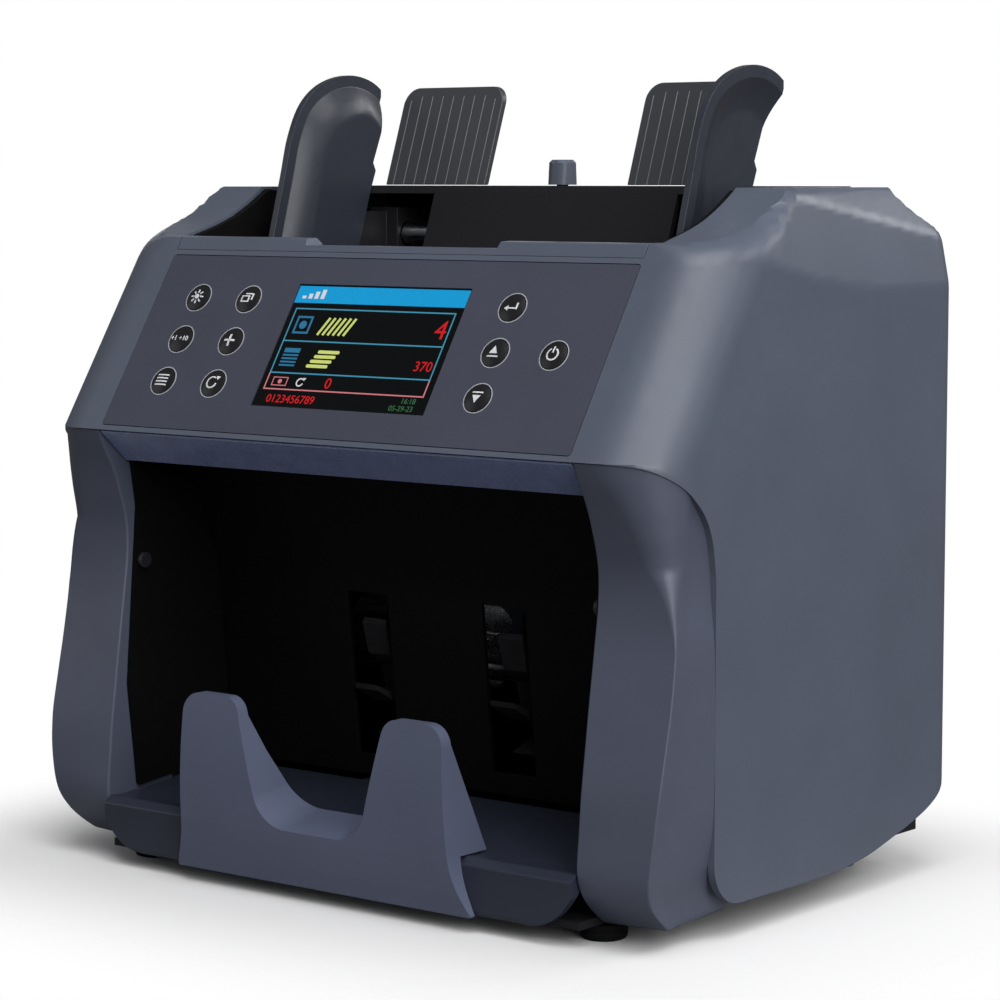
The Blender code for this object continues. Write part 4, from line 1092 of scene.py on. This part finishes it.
def hopper_lip():
    heel, toe = on_panel(0.0, LIP_SLOPE, -3.5), on_panel(0.0, LIP_SLOPE, 0.0)
    outline = rounded([(heel.y, heel.z, 0), (toe.y, toe.z, 0), (40.2, 210.0, 1.0),
                       (45.0, 210.2, 0.8), (47.3, 208.3, 0.8), (47.3, heel.z, 0)], 4)
    lip = prism("lip_strip", outline, "x", -BEZEL_X, BEZEL_X)
    notch = [(-43.0, 220.0), (-40.0, 207.8), (40.0, 207.8), (43.0, 220.0)]
    cut(lip, prism("grip_notch", notch, "y", 30.0, 60.0))
    soften(lip, 0.3, 2)
    dress(lip, "casing", hides=["hopper_lip"])


# ---- feet, back and screws

FOOT_PLACES = {"front_left": (-95.0, 22.0), "front_right": (95.0, 22.0),
               "rear_left": (-95.0, 152.0), "rear_right": (95.0, 152.0)}


def feet():
    for word, (x, y) in FOOT_PLACES.items():
        profile = [(0.0, 5.2), (0.0, 6.2), (0.25, 6.8), (0.7, 7.1), (2.2, 7.35), (2.6, 7.1),
                   (3.0, 7.4), (5.2, 8.0), (5.2, 1.7), (8.4, 1.7)]
        foot = turned(f"rubber_foot_{word}", "z", (x, y), profile, 40)
        cut(foot, rod("screw_well", "z", (x, y), 2.4, -2.0, 2.2, 24))
        dress(foot, "foot", hides=[f"foot_{word}"])


def base():
    """Base pan with its rear wall, the light lip behind the hinge, and the dark skirts."""
    half = [(98.2, 5.3, 0), (98.2, 34.2, 0), (BASE_X, 34.2, 5.0), (BASE_X, 168.0, 6.0)]
    corners = half + [(-x, y, radius) for x, y, radius in half[::-1]]
    pan = prism("base_moulding", rounded(corners), "z", 5.5, 8.0)
    join(pan, block("rear_wall", (-BASE_X, 165.0, 6.0), (BASE_X, 167.6, 40.0)),
         block("light_lip", (-104.0, 162.9, 7.0), (104.0, 165.4, 46.0)))
    for side in (-1, 1):
        low, high = span(side, 102.0, 117.0)
        join(pan, block("shelf", (low, 152.0, 12.2), (high, 168.5, 14.6)))
        low, high = span(side, 114.6, 117.0)
        skirt = [(122.0, 9.5), (136.0, 12.2), (168.5, 12.2), (168.5, 26.0), (122.0, 22.0)]
        join(pan, prism("skirt", skirt, "x", low, high))
    cut(pan, block("inlet_hole", (57.7, 160.0, 12.7), (86.3, 172.0, 33.3)),
        block("switch_hole", (30.7, 160.0, 13.7), (45.3, 172.0, 34.3)))
    for place in sorted(FOOT_PLACES.values()):
        cut(pan, rod("foot_hole", "z", place, 2.0, 0.0, 20.0, 32))
    tidy_flats(pan)
    soften(pan, 0.4, 2, 40.0)
    dress(pan, "base", hides=["base_pan"])


def rear_screws():
    """Cross-headed screws in the casing's rear rim."""
    for number, (x, z) in enumerate([(-113.5, 60.0), (113.5, 60.0), (-113.5, 190.0),
                                     (113.5, 190.0)], start=1):
        profile = [(175.6, 3.0), (175.9, 2.7), (175.95, 1.5), (175.95, 0.2)]
        head = turned(f"rear_screw_{number}", "y", (x, z), [(173.8, 3.0)] + profile, 32)
        for outline in (rectangle(x - 1.9, z - 0.3, x + 1.9, z + 0.3),
                        rectangle(x - 0.3, z - 1.9, x + 0.3, z + 1.9)):
            cut(head, prism("cross", outline, "y", 175.0, 178.0))
        dress(head, "shaft")


# every CAD node that stays, by its finish and edge radius
KEPT_NODES = {
    # the inside finish is near black: partly own black, partly painted shade of the interior
    ("inside", 0.4): "hopper_tray",
    ("inside", 0.2): "stacker_back_plate side_frame_left side_frame_right",
    # the deck cover's near-black rim along the deck's edge is a painted shadow line
    ("base", 0.35): "deck_cover", ("black", 0.1): "guide_pinion",
    ("black", 0.3): "stacker_sensor_left stacker_sensor_right",
    ("black", 0.4): "power_inlet", ("black", 0.5): "sensor_bar rear_cover_latch",
    ("casing", 0.35): "rear_cover", ("casing", 0.2): "gap_adjust_knob",
    ("key", 0.3): "power_switch", ("shaft", 0.15): "motor_pulley",
    ("shaft", 0.2): "pickup_shaft feed_shaft stacker_shaft rear_hinge_pin",
    ("shaft", 0.3): "guide_rail motor", ("belt", 0.15): "drive_belt",
    ("belt", 0.3): "separator_pad stacker_wheel_left stacker_wheel_right",
    ("board", 0.1): "control_board", ("board", 0.3): "main_board",
    ("frame", 0.3): "power_supply",
    ("roller", 0.3): ("pickup_roller_left pickup_roller_right "
                      "feed_roller_left feed_roller_right"),
}


def finish_kept_nodes():
    for (finish, radius), nodes in KEPT_NODES.items():
        for name in nodes.split():
            thing = frame["nodes"][name]
            paint(thing, finish)
            soften(thing, radius, 2, 35.0, weld=True)


# ---- stage, light and camera

def camera():
    data = bpy.data.cameras.new("camera")
    data.lens = CAMERA_LENS
    data.sensor_width = 36.0
    data.clip_start = 0.05
    data.clip_end = 60.0
    view = place_in_scene("camera", data)
    view.location = CAMERA_PLACE
    view.rotation_euler = (math.radians(90.0 - CAMERA_PITCH), 0.0, math.radians(CAMERA_AZIMUTH))
    bpy.context.scene.camera = view


# name, place, size, watts
LIGHTS = [
    ("key_light", (1.25, -1.0, 1.25), (1.3, 1.0), 9.5),
    ("top_light", (0.45, -0.5, 1.7), (1.1, 1.0), 15.0),
    ("right_light", (1.15, 0.5, 1.4), (0.8, 0.8), 5.0),
    ("corner_light", (1.75, -0.85, 0.75), (1.3, 1.0), 18.0),
    ("side_light", (2.2, 0.2, 0.5), (0.9, 0.9), 2.5),
    ("fill_light", (-1.9, -1.3, 0.8), (1.4, 1.4), 3.5),
    ("rear_right_light", (0.75, 1.7, 1.0), (0.8, 0.6), 6.0),
    ("rear_left_light", (-1.3, 1.7, 0.5), (1.6, 0.6), 4.0),
]
LIGHT_TARGET = Vector((0.0, 0.0, 0.13))
FILL_TINT = (0.92, 0.95, 1.0)


def lights():
    for name, place, size, watts in LIGHTS:
        data = bpy.data.lights.new(name, "AREA")
        data.shape = "RECTANGLE"
        data.size, data.size_y = size
        data.energy = watts
        data.color = FILL_TINT if name == "fill_light" else (1.0, 1.0, 1.0)
        lamp = place_in_scene(name, data)
        lamp.location = place
        lamp.rotation_euler = (LIGHT_TARGET - Vector(place)).to_track_quat("-Z", "Y").to_euler()


def world():
    """White backdrop for the camera and a dimmer, even light for the object."""
    scene_world = bpy.data.worlds.new("studio")
    bpy.context.scene.world = scene_world
    scene_world.use_nodes = True
    tree = scene_world.node_tree
    background = tree.nodes["Background"]
    background.inputs["Color"].default_value = (1.0, 1.0, 1.0, 1.0)
    path = node(tree, "LightPath")
    strength = node(tree, "MapRange", To_Min=0.12, To_Max=1.0)
    tree.links.new(path.outputs["Is Camera Ray"], strength.inputs["Value"])
    tree.links.new(strength.outputs["Result"], background.inputs["Strength"])


def floor():
    """Pale floor that thins out round the object, so that it meets the backdrop unseen."""
    bm = bmesh.new()
    bmesh.ops.create_circle(bm, cap_ends=True, segments=96, radius=0.6)
    mesh = bpy.data.meshes.new("floor")
    bm.to_mesh(mesh)
    bm.free()
    ground = place_in_scene("floor", mesh)
    material, tree, shader = base_material("floor_paper", (0.9, 0.9, 0.9), 0.8)
    path = node(tree, "LightPath")
    pale = node(tree, "Mix")
    pale.data_type = "RGBA"
    pale.inputs[6].default_value = (0.3, 0.3, 0.32, 1.0)
    pale.inputs[7].default_value = (0.9, 0.9, 0.9, 1.0)
    tree.links.new(path.outputs["Is Camera Ray"], pale.inputs[0])
    tree.links.new(pale.outputs[2], shader.inputs["Base Color"])
    beyond = node(tree, "TexCoord").outputs["Object"]
    for operation, amount in (("ABSOLUTE", None), ("SUBTRACT", (0.12, 0.085, 0.0)),
                              ("MAXIMUM", (0.0, 0.0, 0.0)), ("LENGTH", None)):
        step = node(tree, "VectorMath")
        step.operation = operation
        tree.links.new(beyond, step.inputs[0])
        if amount:
            step.inputs[1].default_value = amount
        beyond = step.outputs["Value" if operation == "LENGTH" else "Vector"]
    fade = node(tree, "MapRange", From_Min=0.0, From_Max=0.11, To_Min=1.0, To_Max=0.0)
    fade.interpolation_type = "SMOOTHSTEP"
    tree.links.new(beyond, fade.inputs["Value"])
    tree.links.new(fade.outputs["Result"], shader.inputs["Alpha"])
    mesh.materials.append(material)


MATERIALS = make_materials()
camera()
casing()
for word, side in (("left", -1), ("right", 1)):
    cheek(word, side)
    ribbed_plate(word, side)
    hopper_guide(word, side)
control_panel()
keys()
display()
stacker()
hopper_lip()
feed_ribs()
feet()
base()
rear_screws()
finish_kept_nodes()
floor()
lights()
world()
bpy.context.scene.view_settings.view_transform = "Standard"
